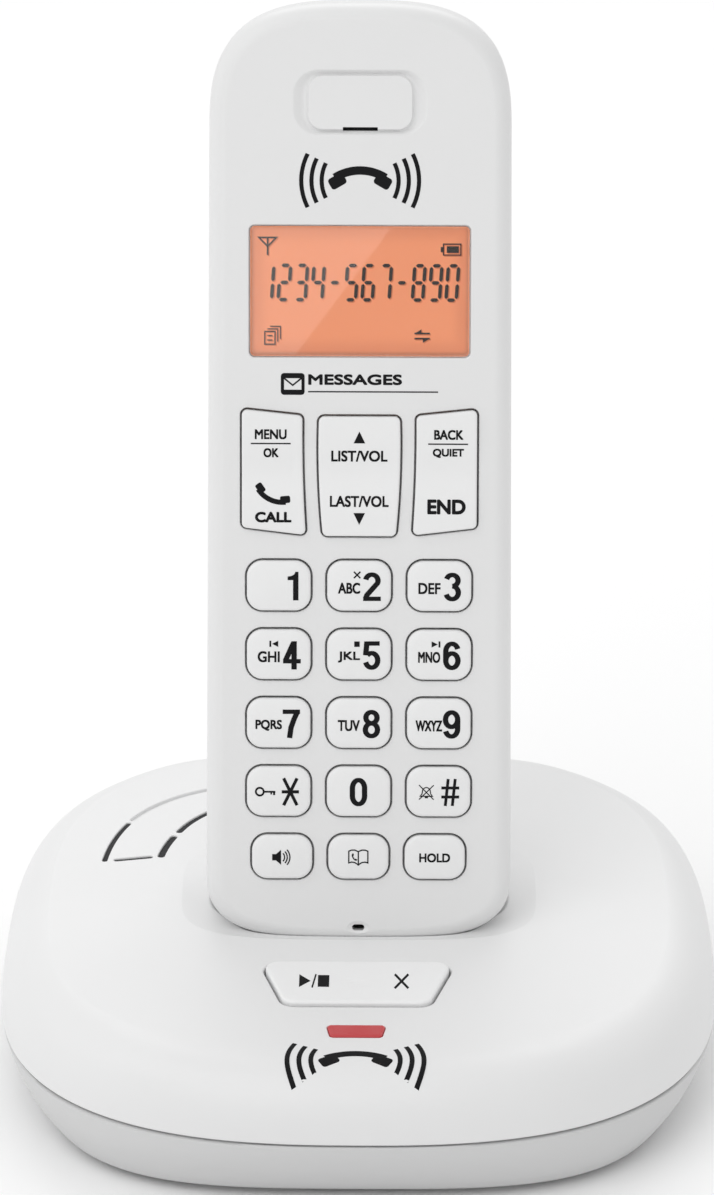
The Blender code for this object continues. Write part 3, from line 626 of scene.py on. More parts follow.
def make_materials():
    mats = {
        "handset": material("handset_casing", (0.770, 0.771, 0.771), 0.40,
                            grain=0.10),
        "base": material("base_casing", (0.790, 0.791, 0.792), 0.42, grain=0.10),
        # Painted shade: the lower casing is the same plastic as the upper one, made darker for the
        # shade on its downward-facing sides.
        "lower": material("shaded_lower_casing", (0.615, 0.616, 0.617), 0.42, grain=0.10),
        "key": material("key_cap", (0.820, 0.822, 0.822), 0.34, grain=0.05),
        "base_key": material("base_key_cap", (0.860, 0.861, 0.862), 0.36,
                             grain=0.05),
        "window": clear_plastic("window_clear"),
        "display": display_material("amber_display"),
        "light": glowing("light_guide", (0.9, 0.6, 0.4), (1, 0.45, 0.2), 0.2),
        "lamp": glowing("red_lens", (0.40, 0.035, 0.04), (0.6, 0.05, 0.055), 0.2,
                        0.18),
        "rubber": material("foot_rubber", (0.16, 0.16, 0.17), 0.8, grain=0.4),
        "board": material("green_board", (0.05, 0.22, 0.10), 0.45, mottle=0.12),
        "steel": material("plated_steel", (0.60, 0.61, 0.63), 0.28, 1.0, grain=0.05),
        "contact": material("plated_contact", (0.82, 0.73, 0.50), 0.22, 1.0),
        "cell": material("cell_sleeve", (0.09, 0.28, 0.15), 0.35, mottle=0.05),
        "jack": material("black_plastic", (0.035, 0.035, 0.038), 0.45, grain=0.2),
        "ink": material("black_print", (0.006, 0.006, 0.007), 0.6, mottle=0.1,
                        shine=0.12),
        "segment": material("display_segment", (0.010, 0.005, 0.003), 0.6,
                            shine=0.0),
        # Dark finish of the speakers and the microphone, also used for the painted shade in the slots
        # of the sound outlet.
        "cloth": material("dark_parts_and_slot_shade", (0.02, 0.02, 0.022), 0.8, mottle=0.2),
        "shadow": glowing("segment_shadow", (0.15, 0.05, 0.02),
                          (0.50, 0.135, 0.052), 1.0, shine=0.0),
    }
    return mats


# ------------------------------------------------------------------ ring outlines by direction

def directions():
    """Unit vectors at equal angles, one for each point of the base's rings."""
    turns = [2 * math.pi * i / RING_POINTS for i in range(RING_POINTS)]
    return [(math.cos(turn), math.sin(turn)) for turn in turns]


def reach(inside, limit=90.0):
    """Distance at which a ray leaves a convex shape; inside tells whether a distance is in."""
    low = 0.0
    high = limit
    for _ in range(HALVINGS):
        middle = (low + high) / 2
        if inside(middle):
            low = middle
        else:
            high = middle
    return low


def super_point(hub, direction, centre_y, half_width, half_depth, front_power, back_power):
    """Point of a superellipse outline in a direction from a hub."""
    c, s = direction

    def inside(t):
        x = hub[0] + t * c
        y = hub[1] + t * s - centre_y
        power = back_power if y > 0 else front_power
        return abs(x / half_width) ** power + abs(y / half_depth) ** power <= 1
    t = reach(inside)
    return (hub[0] + t * c, hub[1] + t * s)


def super_loop(hub, centre_y, half_width, half_depth, power):
    """Superellipse outline sampled at equal angles round a hub."""
    return [super_point(hub, direction, centre_y, half_width, half_depth, power, power)
            for direction in directions()]


def base_point(hub, direction, inset):
    return super_point(hub, direction, 0.0, BASE_HALF_WIDTH - inset, BASE_HALF_DEPTH - inset,
                       FRONT_POWER, BACK_POWER)


def base_loop(hub, inset):
    """Outline of the upper base, moved inwards by inset."""
    return [base_point(hub, direction, inset) for direction in directions()]


def front_share(direction):
    """How much of the softer front rounding there is in a direction: 1 straight ahead."""
    return smooth_step((-direction[1] - 0.55) / 0.45)


def edge_form(direction):
    """Reach and power of the rounded upper edge in a direction from the middle."""
    share = front_share(direction)
    return EDGE_REACH + FRONT_EXTRA_REACH * share, EDGE_POWER + FRONT_EXTRA_POWER * share


def edge_point(hub, direction, start, share):
    """Point of the rounded edge; share runs from 0 at the seam to 1 at the slope.

    At the sides the curve meets the slope at a slight angle, which shows as a fine crease.
    """
    reach_in, power = edge_form(direction)
    crease = smooth_step((abs(direction[0]) - 0.5) / 0.25)
    last = math.pi / 2 - SIDE_CREASE * crease
    turn = last * share
    inset = reach_in * (1 - math.cos(turn) ** (2 / power)) / (1 - math.cos(last) ** (2 / power))
    lift = (math.sin(turn) / math.sin(last)) ** (2 / power)
    x, y = base_point(hub, direction, inset)
    return Vector((x, y, start + (face_z(y) - start) * lift))


def front_drop(y):
    """Fall of the rounded front edge below the slope on the middle line at depth y."""
    reach_in, power = edge_form((0.0, -1.0))
    short = 1 - (BASE_HALF_DEPTH + y) / reach_in
    if short <= 0:
        return 0.0
    return (face_z(y) - SEAM_Z) * (1 - (1 - short ** power) ** (1 / power))


def in_handset(x, y, z, outset):
    """Whether a point is inside the handset's form grown by outset (handset frame).

    The sides stay straighter towards the back than those of the handset itself.
    """
    if y < -outset or y > HANDSET_THICK + outset:
        return False
    side = -outset
    foot = -outset
    if y < FRONT_ROUND_DEPTH:
        share = (FRONT_ROUND_DEPTH - y) / (FRONT_ROUND_DEPTH + outset)
        side = foot = FRONT_ROUND * (1 - math.sqrt(max(0.0, 1 - share * share))) - outset
    elif y > PARTING:
        share = (y - PARTING) / (HANDSET_THICK + outset - PARTING)
        fall = 1 - math.sqrt(max(0.0, 1 - share * share))
        side = WELL_BACK_ROUND * fall - outset
        foot = BACK_RISE_FOOT * fall - outset
    half = HANDSET_HALF_WIDTH - side - HANDSET_TAPER * max(z, 0.0) / HANDSET_LENGTH
    end = max(FOOT_END - max(side, 0.0), LEAST_FOOT_END)
    if z >= foot + end:
        return abs(x) <= half
    drop = (foot + end - z) / end
    return drop <= 1 and (abs(x) / half) ** END_POWER + drop ** END_POWER <= 1


SLOPE_TO_HANDSET = HANDSET.inverted() @ SLOPE


def section_middle(level, outset):
    """Middle, along the slope, of the well's section at a level, or None below its bottom."""
    inside = []
    for k in range(-60, 121):
        v = k * 0.25
        p = SLOPE_TO_HANDSET @ Vector((0, v, level))
        if in_handset(p.x, p.y, p.z, outset):
            inside.append(v)
    return (inside[0] + inside[-1]) / 2 if len(inside) > 2 else None


def section_floor(outset):
    """Level at which the section of the grown handset form closes to a point."""
    low = -40.0
    high = 0.0
    for _ in range(HALVINGS):
        middle = (low + high) / 2
        if section_middle(middle, outset) is None:
            low = middle
        else:
            high = middle
    return high


def handset_section(level, outset, side_gap=0.0):
    """Loop where a plane parallel to the slope cuts the grown handset form (table frame).

    Its sides and back stand off further, by side_gap; the front keeps the plain outset.
    """
    hub_v = section_middle(level, outset)
    origin = SLOPE_TO_HANDSET @ Vector((0, hub_v, level))
    turn = SLOPE_TO_HANDSET.to_3x3()
    points = []
    for c, s in directions():
        ray = turn @ Vector((c, s, 0))
        t = reach(lambda d: in_handset(*(origin + ray * d), outset), 50.0)
        t += side_gap * smooth_step((s + 0.35) / 0.3)
        points.append(SLOPE @ Vector((t * c, hub_v + t * s, level)))
    return points


def blend_loops(first, last, share):
    return [a.lerp(b, share) for a, b in zip(first, last)]


# ------------------------------------------------------------------ base casing

def well_block_rings():
    """Outside of the well block inside the casing, from its bottom up to the roof."""
    gap = WELL_GAP + BASE_WALL
    floor = section_floor(gap)
    return [handset_section(floor + (-BASE_WALL - floor) * fall, gap, WELL_SIDE_GAP)
            for fall, _ in quarter(6, 1)]


def outer_rings(hub):
    """Roof, inner wall, seam edge, outer wall and the rounded edge up to the slope."""
    start = SEAM_Z + SEAM_GAP / 2
    rings = []
    for fall, left in reversed(quarter(4)):
        rings.append([Vector((x, y, SEAM_Z + (face_z(y) - BASE_WALL - SEAM_Z) * (1 - left)))
                      for x, y in base_loop(hub, BASE_WALL + ROOF_ROUND * fall)])
    rings[-1] = [Vector((p.x, p.y, start)) for p in rings[-1]]
    rings.append([Vector((x, y, start)) for x, y in base_loop(hub, SEAM_EDGE)])
    steps = 18
    for k in range(steps + 1):
        low = start + (SEAM_EDGE if k == 0 else 0.0)
        rings.append([edge_point(hub, direction, low, k / steps) for direction in directions()])
    return rings


def dish_rings(hub, face):
    """Flat of the slope, from its outer loop in, and the dish down to the mouth of the well."""
    middle_y = (SLOPE.inverted() @ Vector((*hub, FACE_MID_Z))).y
    loop = super_loop((hub[0], middle_y), DISH_CENTRE_Y, DISH_HALF_WIDTH, DISH_HALF_DEPTH,
                      DISH_POWER)
    rim = [SLOPE @ Vector((x, y, 0)) for x, y in loop]
    rings = [blend_loops(face, rim, share) for share in (0.012, 0.05, 0.3, 0.6, 0.9, 0.99)]
    normal = SLOPE.to_3x3() @ Vector((0, 0, 1))
    mouth = handset_section(-DISH_DEPTH, WELL_GAP + MOUTH_ROUND, WELL_SIDE_GAP)
    raised_mouth = [p + normal * DISH_DEPTH for p in mouth]
    steps = 18
    for share in [0.0, 0.02] + [k / steps for k in range(1, steps)]:
        sink = DISH_DEPTH * math.sin(math.pi / 2 * share)
        rings.append([p - normal * sink for p in blend_loops(rim, raised_mouth, share)])
    return rings


def well_rings():
    """Rounded mouth and walls of the well, closing towards its floor."""
    rings = [handset_section(-DISH_DEPTH - MOUTH_ROUND * left, WELL_GAP + MOUTH_ROUND * fall,
                             WELL_SIDE_GAP) for fall, left in reversed(quarter(6))]
    mouth = -DISH_DEPTH - MOUTH_ROUND
    floor = section_floor(WELL_GAP)
    steps = 16
    for k in range(1, steps):
        share = math.sin(math.pi / 2 * k / steps)
        rings.append(handset_section(mouth + (floor - mouth) * share, WELL_GAP,
                                     WELL_SIDE_GAP * (1 - share ** 4)))
    return rings


def floor_hub(gap):
    """Lowest point of the handset form grown by gap, where the well or its block closes."""
    floor = section_floor(gap)
    return SLOPE @ Vector((0, section_middle(floor + 0.002, gap), floor))


def make_base_top(mats):
    middle = SLOPE @ Vector((0, section_middle(0.0, WELL_GAP), 0))
    hub = (middle.x, middle.y)
    rings = well_block_rings() + outer_rings(hub)
    rings += dish_rings(hub, rings[-1])
    rings += well_rings()
    shell = skin("base_top", rings, TABLE, floor_hub(WELL_GAP + BASE_WALL), floor_hub(WELL_GAP))

    cutters = [flared_cutter("rocker_hole", rounded(BASE_ROCKER, BASE_ROCKER_CORNER, 10), 0.35,
                             0.35, 8, SLOPE),
               flared_cutter("lamp_hole", rounded(LAMP, LAMP_CORNER, 6), 0.12, 0.15, 8, SLOPE)]
    # The holes of the charge pins widen to a recess that clears the handset's contacts.
    profile = ((PIN_HOLE, -8), (PIN_HOLE, -CONTACT_RECESS_DEPTH),
               (CONTACT_RECESS, -CONTACT_RECESS_DEPTH), (CONTACT_RECESS, 2))
    for side in (-1, 1):
        cutters.append(lathe("pin_hole", profile, "z", (side * CHARGE_X, CHARGE_Y, 0), HANDSET, 32))
    for points, width, deep in sound_slots():
        cutters.append(slot_cutter(points, width, deep))
    cutters.extend(jack_window_cutters())
    boolean(shell, join(cutters, "cutters"))
    return finish_piece(shell, "base", mats["base"], ["base_top_shell"])


def outline_point(scale, turn):
    """Point of the back half of the outline, shrunk; turn runs from the back to the left."""
    c = math.cos(turn)
    s = math.sin(turn)
    x = -scale * BASE_HALF_WIDTH * math.copysign(abs(s) ** (2 / BACK_POWER), s)
    y = scale * BASE_HALF_DEPTH * math.copysign(abs(c) ** (2 / BACK_POWER), c)
    return Vector((x, y))


def arc_between(start, end, start_scale, end_scale):
    """Line along the back of the outline between two turns in degrees, at changing scale."""
    points = []
    steps = 18
    for k in range(steps + 1):
        share = k / steps
        turn = math.radians(start + (end - start) * share)
        points.append(outline_point(start_scale + (end_scale - start_scale) * share, turn))
    return points


def sound_slots():
    """Centre line, width and depth of the slots that frame the sound outlet.

    The long slot along the back is only a shallow groove; the others go through.
    """
    return ((arc_between(80, 61, 0.733, 0.730), 0.85, SLOT_DEEP),
            (arc_between(58.5, 29.5, 0.730, 0.723), 0.9, SLOT_GROOVE),
            (arc_between(73, 60, 0.583, 0.588), 1.15, SLOT_DEEP),
            (arc_between(55.5, 30, 0.591, 0.617), 1.05, SLOT_DEEP),
            ([Vector((-39.3, 13.25)), Vector((-36.6, 13.8)), Vector((-33.9, 14.35))], 0.9,
             SLOT_DEEP))


def slot_outline(points, width, grow):
    """Closed outline round a centre line, with rounded ends."""
    left = []
    right = []
    half = width / 2 + grow
    for i, here in enumerate(points):
        ahead = heading(points, i)
        side = Vector((-ahead.y, ahead.x))
        left.append(here + side * half)
        right.append(here - side * half)
    return (left + round_end(points[-1], points[-2], half) + right[::-1]
            + round_end(points[0], points[1], half))


def round_end(tip, before, half):
    """Points of the half circle that closes a strip at its tip."""
    ahead = (tip - before).normalized()
    across = Vector((-ahead.y, ahead.x))
    points = []
    for k in range(1, 6):
        turn = math.pi / 2 - math.pi * k / 6
        points.append(tip + (ahead * math.cos(turn) + across * math.sin(turn)) * half)
    return points


def slot_rings(points, width, levels):
    """Rings of a strip along the slope, from (growth, level) pairs."""
    return [[(p.x, p.y, face_z(p.y) + level) for p in slot_outline(points, width, grow)]
            for grow, level in levels]


def slot_cutter(points, width, deep):
    """Upright slot with a softly rounded mouth, set to the height of the slope."""
    levels = [(0.0, -deep)]
    levels += [(SLOT_EDGE * fall, MOUTH_LIFT - SLOT_EDGE * left) for fall, left in quarter(4)]
    levels.append((SLOT_EDGE, 2.0))
    return skin("slot", slot_rings(points, width, levels), TABLE)


def make_slot_shade_strips(mats):
    """Dark strips that fill the through slots of the sound outlet from inside, just under the face:
    painted shade that darkens the slots.
    """
    strips = [skin("strip", slot_rings(points, width, ((-0.05, -BASE_WALL), (-0.05, -0.3))), TABLE)
              for points, width, deep in sound_slots() if deep == SLOT_DEEP]
    finish_piece(join(strips, "slot_shade_strips"), "base", mats["cloth"])


def jack_window_cutters():
    """Openings in the back wall of the casing, a little larger than the sockets."""
    gap = JACK_WINDOW_GAP
    tools = []
    for x, half, top in (LINE_JACK, POWER_JACK):
        tools.append(box("window", (x - half - gap, JACK_WINDOW_Y, JACK_FLOOR_Z - gap),
                         (x + half + gap, 70, top + gap), TABLE))
    return tools


def lower_loop(z, grow):
    """Outline of the lower casing at a height, between its foot and the seam."""
    share = (z - UNDERSIDE_Z) / (SEAM_Z - UNDERSIDE_Z)
    bow = 1 + LOWER_BOW * 4 * share * (1 - share)
    depth = FOOT_HALF_DEPTH + grow
    foot = super_loop((0, 0), 0.0, FOOT_HALF_WIDTH + grow, depth, FOOT_POWER)
    seam = base_loop((0, 0), -grow)
    return [Vector(((a[0] + (b[0] - a[0]) * share) * bow, (a[1] + (b[1] - a[1]) * share) * bow, z))
            for a, b in zip(foot, seam)]


def make_base_bottom(mats):
    top = SEAM_Z - SEAM_GAP / 2
    floor = UNDERSIDE_Z + BASE_WALL
    rings = [lower_loop(z, -BASE_WALL) for z in (floor, floor + 2.5, top)]
    rings.append([Vector((p.x, p.y, top)) for p in lower_loop(top, -SEAM_EDGE)])
    steps = 9
    foot = UNDERSIDE_Z + UNDERSIDE_EDGE
    for k in range(steps + 1):
        rings.append(lower_loop(top - SEAM_EDGE + (foot - top + SEAM_EDGE) * k / steps, 0.0))
    for fall, left in quarter(5, 1):
        rings.append(lower_loop(foot - UNDERSIDE_EDGE * (1 - left), -UNDERSIDE_EDGE * fall))
    shell = skin("base_bottom", rings, TABLE)
    posts = [lathe("post", ((4.2, 2.0), (4.2, 9.0)), "z", (x, y, 0), TABLE, 40)
             for x, y in SCREW_PLACES]
    boolean(shell, join(posts, "posts"), "UNION")
    tools = jack_window_cutters()
    for x, y in SCREW_PLACES:
        tools.append(lathe("bore", ((3.5, 0.0), (3.2, 1.3), (3.2, 6.0), (1.6, 6.0), (1.6, 12.0)),
                           "z", (x, y, 0), TABLE, 40))
    for x, y in FOOT_PLACES:
        tools.append(lathe("foot_seat", ((5.3, 0.0), (5.3, 2.1)), "z", (x, y, 0), TABLE))
    boolean(shell, join(tools, "tools"))
    # The darker lower-casing finish is painted shade on the same plastic as the upper casing.
    return finish_piece(shell, "base", mats["lower"], ["base_bottom_shell"])


# ------------------------------------------------------------------ base fittings

def screw_piece(name, place, axis, matrix, profile, head, inward):
    """Round screw with a cross recess in its head.

    The head's outer face is at the level head; inward is the way into the screw, 1 or -1.
    """
    body = lathe(name, profile, axis, place, matrix, 40)
    # The tool starts a little outside the head.
    low, high = sorted((head - 0.3 * inward, head + RECESS_DEPTH * inward))
    for u, v in (RECESS_ARM, RECESS_ARM[::-1]):
        corners = [(-u, -v, low), (u, v, high)]
        if axis == "y":
            corners = [(-u, low, -v), (u, high, v)]
        near, far = [Vector(place) + Vector(corner) for corner in corners]
        boolean(body, box("arm", near, far, matrix))
    return body


def make_base_fittings(mats):
    for number, (x, y) in enumerate(FOOT_PLACES, 1):
        profile = [(3.2, 0.12), (3.5, 0.0), (4.4, 0.0)]
        profile += [(4.5 + 0.5 * (1 - left), 0.5 * fall) for fall, left in quarter(5, 1)]
        profile.append((5.0, 1.8))
        foot = lathe("foot_%d" % number, profile, "z", (x, y, 0), TABLE, 56)
        finish_piece(foot, "base", mats["rubber"], ["rubber_foot_%d" % number])
    for number, (x, y) in enumerate(SCREW_PLACES, 1):
        profile = ((1.5, 3.62), (2.1, 3.75), (2.55, 4.1), (2.7, 4.5), (2.7, 5.7), (1.3, 5.7),
                   (1.3, 15.5))
        screw = screw_piece("casing_screw_%d" % number, (x, y, 0), "z", TABLE, profile, 3.62, 1)
        finish_piece(screw, "base", mats["steel"], ["base_screw_%d" % number])


def bevelled(obj, width):
    bevel = obj.modifiers.new("bevel", "BEVEL")
    bevel.width = width * MM
    bevel.segments = 3
    bevel.limit_method = "ANGLE"
    bevel.angle_limit = math.radians(30)
    return obj


def make_line_jack(mats):
    x, half, top = LINE_JACK
    y = JACK_BACK_Y
    line = box("line_socket", (x - half, y - 13.0, JACK_FLOOR_Z), (x + half, y, top), TABLE)
    boolean(line, box("hole", (x - 4.2, y - 11.0, 5.6), (x + 4.2, y + 2.0, 12.4), TABLE))
    boolean(line, box("latch", (x - 1.8, y - 11.0, 4.2), (x + 1.8, y + 2.0, 6.0), TABLE))
    finish_piece(bevelled(line, 0.2), "base", mats["jack"], ["line_jack"])
    wires = []
    for k in range(4):
        wire_x = x + (k - 1.5) * 1.27
        route = ((-10.9, 12.0), (-4.5, 12.0), (-2.6, 11.4), (-6.5, 9.3), (-9.5, 8.3))
        wires.append(tube("wire", [(wire_x, y + along, z) for along, z in route], 0.22, TABLE))
    finish_piece(join(wires, "line_socket_wires"), "base", mats["contact"])


def make_power_jack(mats):
    x, half, top = POWER_JACK
    y = JACK_BACK_Y
    place = (x, y, (JACK_FLOOR_Z + top) / 2)
    power = box("power_socket", (x - half, y - 12.0, JACK_FLOOR_Z), (x + half, y, top), TABLE)
    barrel = lathe("barrel", ((3.2, 2.0), (3.2, -0.1), (3.0, -0.3), (3.0, -9.0)), "y", place, TABLE)
    boolean(power, barrel)
    finish_piece(bevelled(power, 0.2), "base", mats["jack"], ["power_jack"])
    pin = lathe("power_socket_pin", ((1.0, -9.2), (1.0, -1.5), (0.8, -1.15), (0.4, -1.0)), "y",
                place, TABLE, 28)
    finish_piece(pin, "base", mats["contact"])


def tube(name, points, radius, matrix, sides=10, beside=(1, 0, 0)):
    """Round bar along a line of points, with flat ends; beside is square to the line."""
    path = [Vector(p) for p in points]
    rings = []
    side = Vector(beside)
    for i, here in enumerate(path):
        across = heading(path, i).cross(side).normalized()
        ring = []
        for k in range(sides):
            turn = 2 * math.pi * k / sides
            ring.append(here + (side * math.cos(turn) + across * math.sin(turn)) * radius)
        rings.append(ring)
    return skin(name, rings, matrix)


def make_base_rocker(mats):
    middle = Vector((0, BASE_ROCKER_MID_Y))
    outline = rounded(BASE_ROCKER, BASE_ROCKER_CORNER, 12)
    rings = [flat_ring(outline(grow), level)
             for grow, level in ((FLANGE, -3.9), (FLANGE, -3.0), (0.0, -3.0))]
    for fall, left in quarter(6):
        rings.append([(p.x, p.y, base_rocker_top(p.x) - BASE_ROCKER_EDGE * left)
                      for p in outline(-BASE_ROCKER_EDGE * fall)])
    edge = [Vector(p[:2]) for p in rings[-1]]
    for share in (0.88, 0.74, 0.6, 0.46, 0.32, 0.18, 0.08):
        rings.append([(q.x, q.y, base_rocker_top(q.x))
                      for q in (middle.lerp(p, share) for p in edge)])
    key = skin("base_rocker", rings, SLOPE, (0, middle.y, -3.9),
               (0, middle.y, base_rocker_top(0)))
    finish_piece(key, "base_rocker_key", mats["base_key"], ["base_rocker_key"])


def make_lamp_lens(mats):
    outline = rounded(LAMP, LAMP_CORNER, 8)
    rings = [flat_ring(outline(grow), level)
             for grow, level in ((0.0, -2.4), (0.0, 0.05), (-0.12, 0.18), (-0.35, 0.25))]
    finish_piece(skin("lamp_lens", rings, SLOPE), "base", mats["lamp"], ["in_use_lamp_lens"])


def base_rocker_top(x):
    """Height of the base rocker's top: two soft pads with a shallow valley between them."""
    return 0.62 - 0.16 * math.exp(-(x / 1.6) ** 2) + 0.10 * (x / 14.4) ** 2


def make_charge_pins(mats):
    profile = [(1.9, -5.6), (1.9, -4.4), (PIN_RADIUS, -4.4), (PIN_RADIUS, -1.0)]
    # The rounded tip ends in a tiny flat.
    for fall, left in quarter(6, 1):
        profile.append((PIN_RADIUS * (1 - fall) + 0.02, -1.0 + 0.8 * (1 - left)))
    for side, word in SIDES:
        node = "base_charge_pin_" + word
        pin = lathe("charge_pin_" + word, profile, "z", (side * CHARGE_X, CHARGE_Y, 0), HANDSET,
                    36)
        finish_piece(pin, node, mats["contact"], [node])


# ------------------------------------------------------------------ handset casing

def moat_cutter():
    """Ring-shaped tool for the soft channel round the earpiece's flush island."""
    outer = rounded_polygon(rectangle(MOAT_SIZE, (0, EARPIECE_Z)), MOAT_CORNER, 16)
    inner = rounded_polygon(rectangle(ISLAND_SIZE, (0, EARPIECE_Z - 0.05)), ISLAND_CORNER, 16)
    # Depth across the channel, from the island outwards, then back above the face.
    section = ((0.0, -0.02), (0.03, 0.10), (0.08, 0.40), (0.14, 0.62), (0.24, 0.72), (0.36, 0.70),
               (0.50, 0.57), (0.64, 0.38), (0.78, 0.19), (0.90, 0.06), (1.02, -0.02), (1.02, -1.0),
               (0.0, -1.0))
    rings = [face_ring(blend_loops(inner, outer, share), depth) for share, depth in section]
    return skin("moat", rings, HANDSET, endless=True)


def dimple_cutter():
    """Shallow oval bowl round the microphone's opening."""
    rings = []
    for k in range(8):
        share = k / 7
        size = 1.0 - 0.85 * share
        depth = 0.45 * (1 - size * size) - 0.03
        rings.append([(1.9 * size * math.cos(t), depth, MIC_Z + 1.15 * size * math.sin(t))
                      for t in (2 * math.pi * i / 40 for i in range(40))])
    rings.insert(0, [(x, -1.0, z) for x, _, z in rings[0]])
    return skin("dimple", rings, HANDSET)


def key_table():
    """Name, corners, centre of the fifteen push keys."""
    names = (("key_1", "key_2", "key_3"), ("key_4", "key_5", "key_6"),
             ("key_7", "key_8", "key_9"), ("key_star", "key_0", "key_hash"))
    keys = []
    for row, trio in enumerate(names):
        for column, name in enumerate(trio):
            centre = Vector(((column - 1) * KEY_PITCH_X, KEY_ROW_Z - row * KEY_PITCH_Z))
            keys.append((name, rectangle(KEY_SIZE, centre), centre, KEY_SIZE))
    for column, name in enumerate(("key_speaker", "key_phonebook", "key_recall")):
        centre = Vector(((column - 1) * LOW_PITCH_X, LOW_ROW_Z))
        keys.append((name, rectangle(LOW_KEY_SIZE, centre), centre, LOW_KEY_SIZE))
    return keys


def rocker_table():
    mirrored = tuple((-x, z) for x, z in SIDE_ROCKER)
    return (("rocker_menu_talk", mirrored), ("rocker_up_down", MIDDLE_ROCKER),
            ("rocker_mute_off", SIDE_ROCKER))


def rocker_outline(corners, grow):
    """Rocker outline with softly bowed long sides."""
    points = rounded_polygon(corners, ROCKER_CORNER, 8, grow, ROCKER_SIDE_POINTS)
    middle = sum(c[0] for c in corners) / len(corners)
    bowed = []
    for p in points:
        share = (p.y - ROCKER_MID_Z) / ROCKER_HALF_LENGTH
        push = max(0.0, 1 - share * share) * ROCKER_BOW
        toward = 1.0 if p.x > middle else -1.0
        if abs(middle) > 1:
            # The outer rockers bow along with the middle one, whose sides belly outwards.
            push = push * 0.6 if toward * middle < 0 else 0.0
            toward = -1.0 if middle < 0 else 1.0
        bowed.append(Vector((p.x + toward * push, p.y)))
    return bowed


def window_seat_cutter():
    """Stepped opening for the display window, with a rounded mouth."""
    view = rounded(rectangle(LCD_VIEW, (0, DISPLAY_CENTRE_Z)), DISPLAY_CORNER, 10)
    seat = rounded(rectangle(DISPLAY_SIZE, (0, DISPLAY_CENTRE_Z)), DISPLAY_CORNER, 10)
    rings = [face_ring(view(), LCD_BACK_Y), face_ring(view(), WINDOW_SEAT_Y),
             face_ring(seat(), WINDOW_SEAT_Y)]
    for fall, left in quarter(4):
        rings.append(face_ring(seat(WINDOW_ROUND * fall), WINDOW_ROUND * left - MOUTH_LIFT))
    rings.append(face_ring(seat(WINDOW_ROUND), -2.0))
    return skin("window_seat", rings, HANDSET)


def make_front_shell(mats):
    back_y = PARTING - PARTING_GAP
    rings = handset_rings(0.0, back=back_y, steps=14)
    rings[-1] = handset_outline(back_y - PARTING_EDGE, 0.0)
    rings.append(handset_outline(back_y, PARTING_EDGE))
    inner = handset_rings(-HANDSET_WALL, back=back_y, steps=6)
    shell = skin("handset_front", rings + inner[::-1], HANDSET)

    tools = []
    for name, corners, _, _ in key_table():
        tools.append(flared_cutter("hole_" + name, rounded(corners, KEY_CORNER, 10), KEY_GAP,
                                   HOLE_EDGE, 4, HANDSET))
    for name, corners in rocker_table():
        tools.append(flared_cutter("hole_" + name, lambda grow, c=corners: rocker_outline(c, grow),
                                   KEY_GAP, HOLE_EDGE, 4, HANDSET))
    tools.append(window_seat_cutter())
    for side in (-1, 1):
        x = side * CHARGE_X
        tools.append(box("charge_slot", (x - 2.8, CHARGE_Y - 2.3, -2.0),
                         (x + 2.8, CHARGE_Y + 2.3, 3.0), HANDSET))
    tools.extend((moat_cutter(), dimple_cutter()))
    boolean(shell, join(tools, "tools"))
    slot_z = EARPIECE_Z - ISLAND_SIZE[1] / 2
    holes = [box("sound_slot", (-2.7, -2, slot_z - 0.36), (2.7, 3, slot_z + 0.26), HANDSET),
             prism("mic_slot", rounded_polygon(rectangle((1.95, 1.0), (0, MIC_Z)), 0.49, 6), -2, 3)]
    boolean(shell, join(holes, "holes"))
    return finish_piece(shell, "handset", mats["handset"], ["handset_front_shell"])


def prism(name, points, low, high):
    return skin(name, [face_ring(points, y) for y in (low, high)], HANDSET)


def make_rear_shell(mats):
    front_y = PARTING + PARTING_GAP
    rings = handset_rings(0.0, front=front_y, back_steps=30)
    rings[0] = handset_outline(front_y + PARTING_EDGE, 0.0)
    rings = [r for r in rings if r[0][1] >= front_y + PARTING_EDGE]
    rings.insert(0, handset_outline(front_y, PARTING_EDGE))
    shell = skin("handset_rear", rings, HANDSET)
    hollow = skin("hollow", handset_rings(-HANDSET_WALL, front=PARTING - 2, back_steps=10), HANDSET)
    boolean(hollow, box("bay", (-BAY_HALF_WIDTH - BAY_WALL, BAY_Y - BAY_WALL, BAY_Z[0] - BAY_WALL),
                        (BAY_HALF_WIDTH + BAY_WALL, 30, BAY_Z[1] + BAY_WALL), HANDSET))
    seat_y = COVER_INNER_Y - COVER_CLEAR
    recess = COVER_HALF_WIDTH + COVER_CLEAR
    roof = recess + HANDSET_WALL
    boolean(hollow, box("seat", (-roof, seat_y - HANDSET_WALL, -5), (roof, 30, COVER_Z[1] + 2.5),
                        HANDSET))
    bosses = []
    bores = []
    for side in (-1, 1):
        place = (side * HANDSET_SCREW[0], 0, HANDSET_SCREW[1])
        bosses.append(lathe("boss", ((3.3, 10.8), (3.3, 30.0)), "y", place, HANDSET, 32))
        bores.append(lathe("bore", ((1.3, 9.0), (1.3, 15.6), (2.3, 15.6), (2.3, 30.0)), "y", place,
                           HANDSET, 40))
    boolean(hollow, join(bosses, "bosses"))
    boolean(shell, hollow)
    corners = upright_rectangle(recess, -5.0, COVER_Z[1] + COVER_CLEAR)
    boolean(shell, prism("recess", rounded_polygon(corners, 3.2, 12), seat_y, 30))
    bores.append(box("bay", (-BAY_HALF_WIDTH, BAY_Y, BAY_Z[0]), (BAY_HALF_WIDTH, 30, BAY_Z[1]),
                     HANDSET))
    boolean(shell, join(bores, "bores"))
    return finish_piece(shell, "handset", mats["handset"], ["handset_rear_shell"])


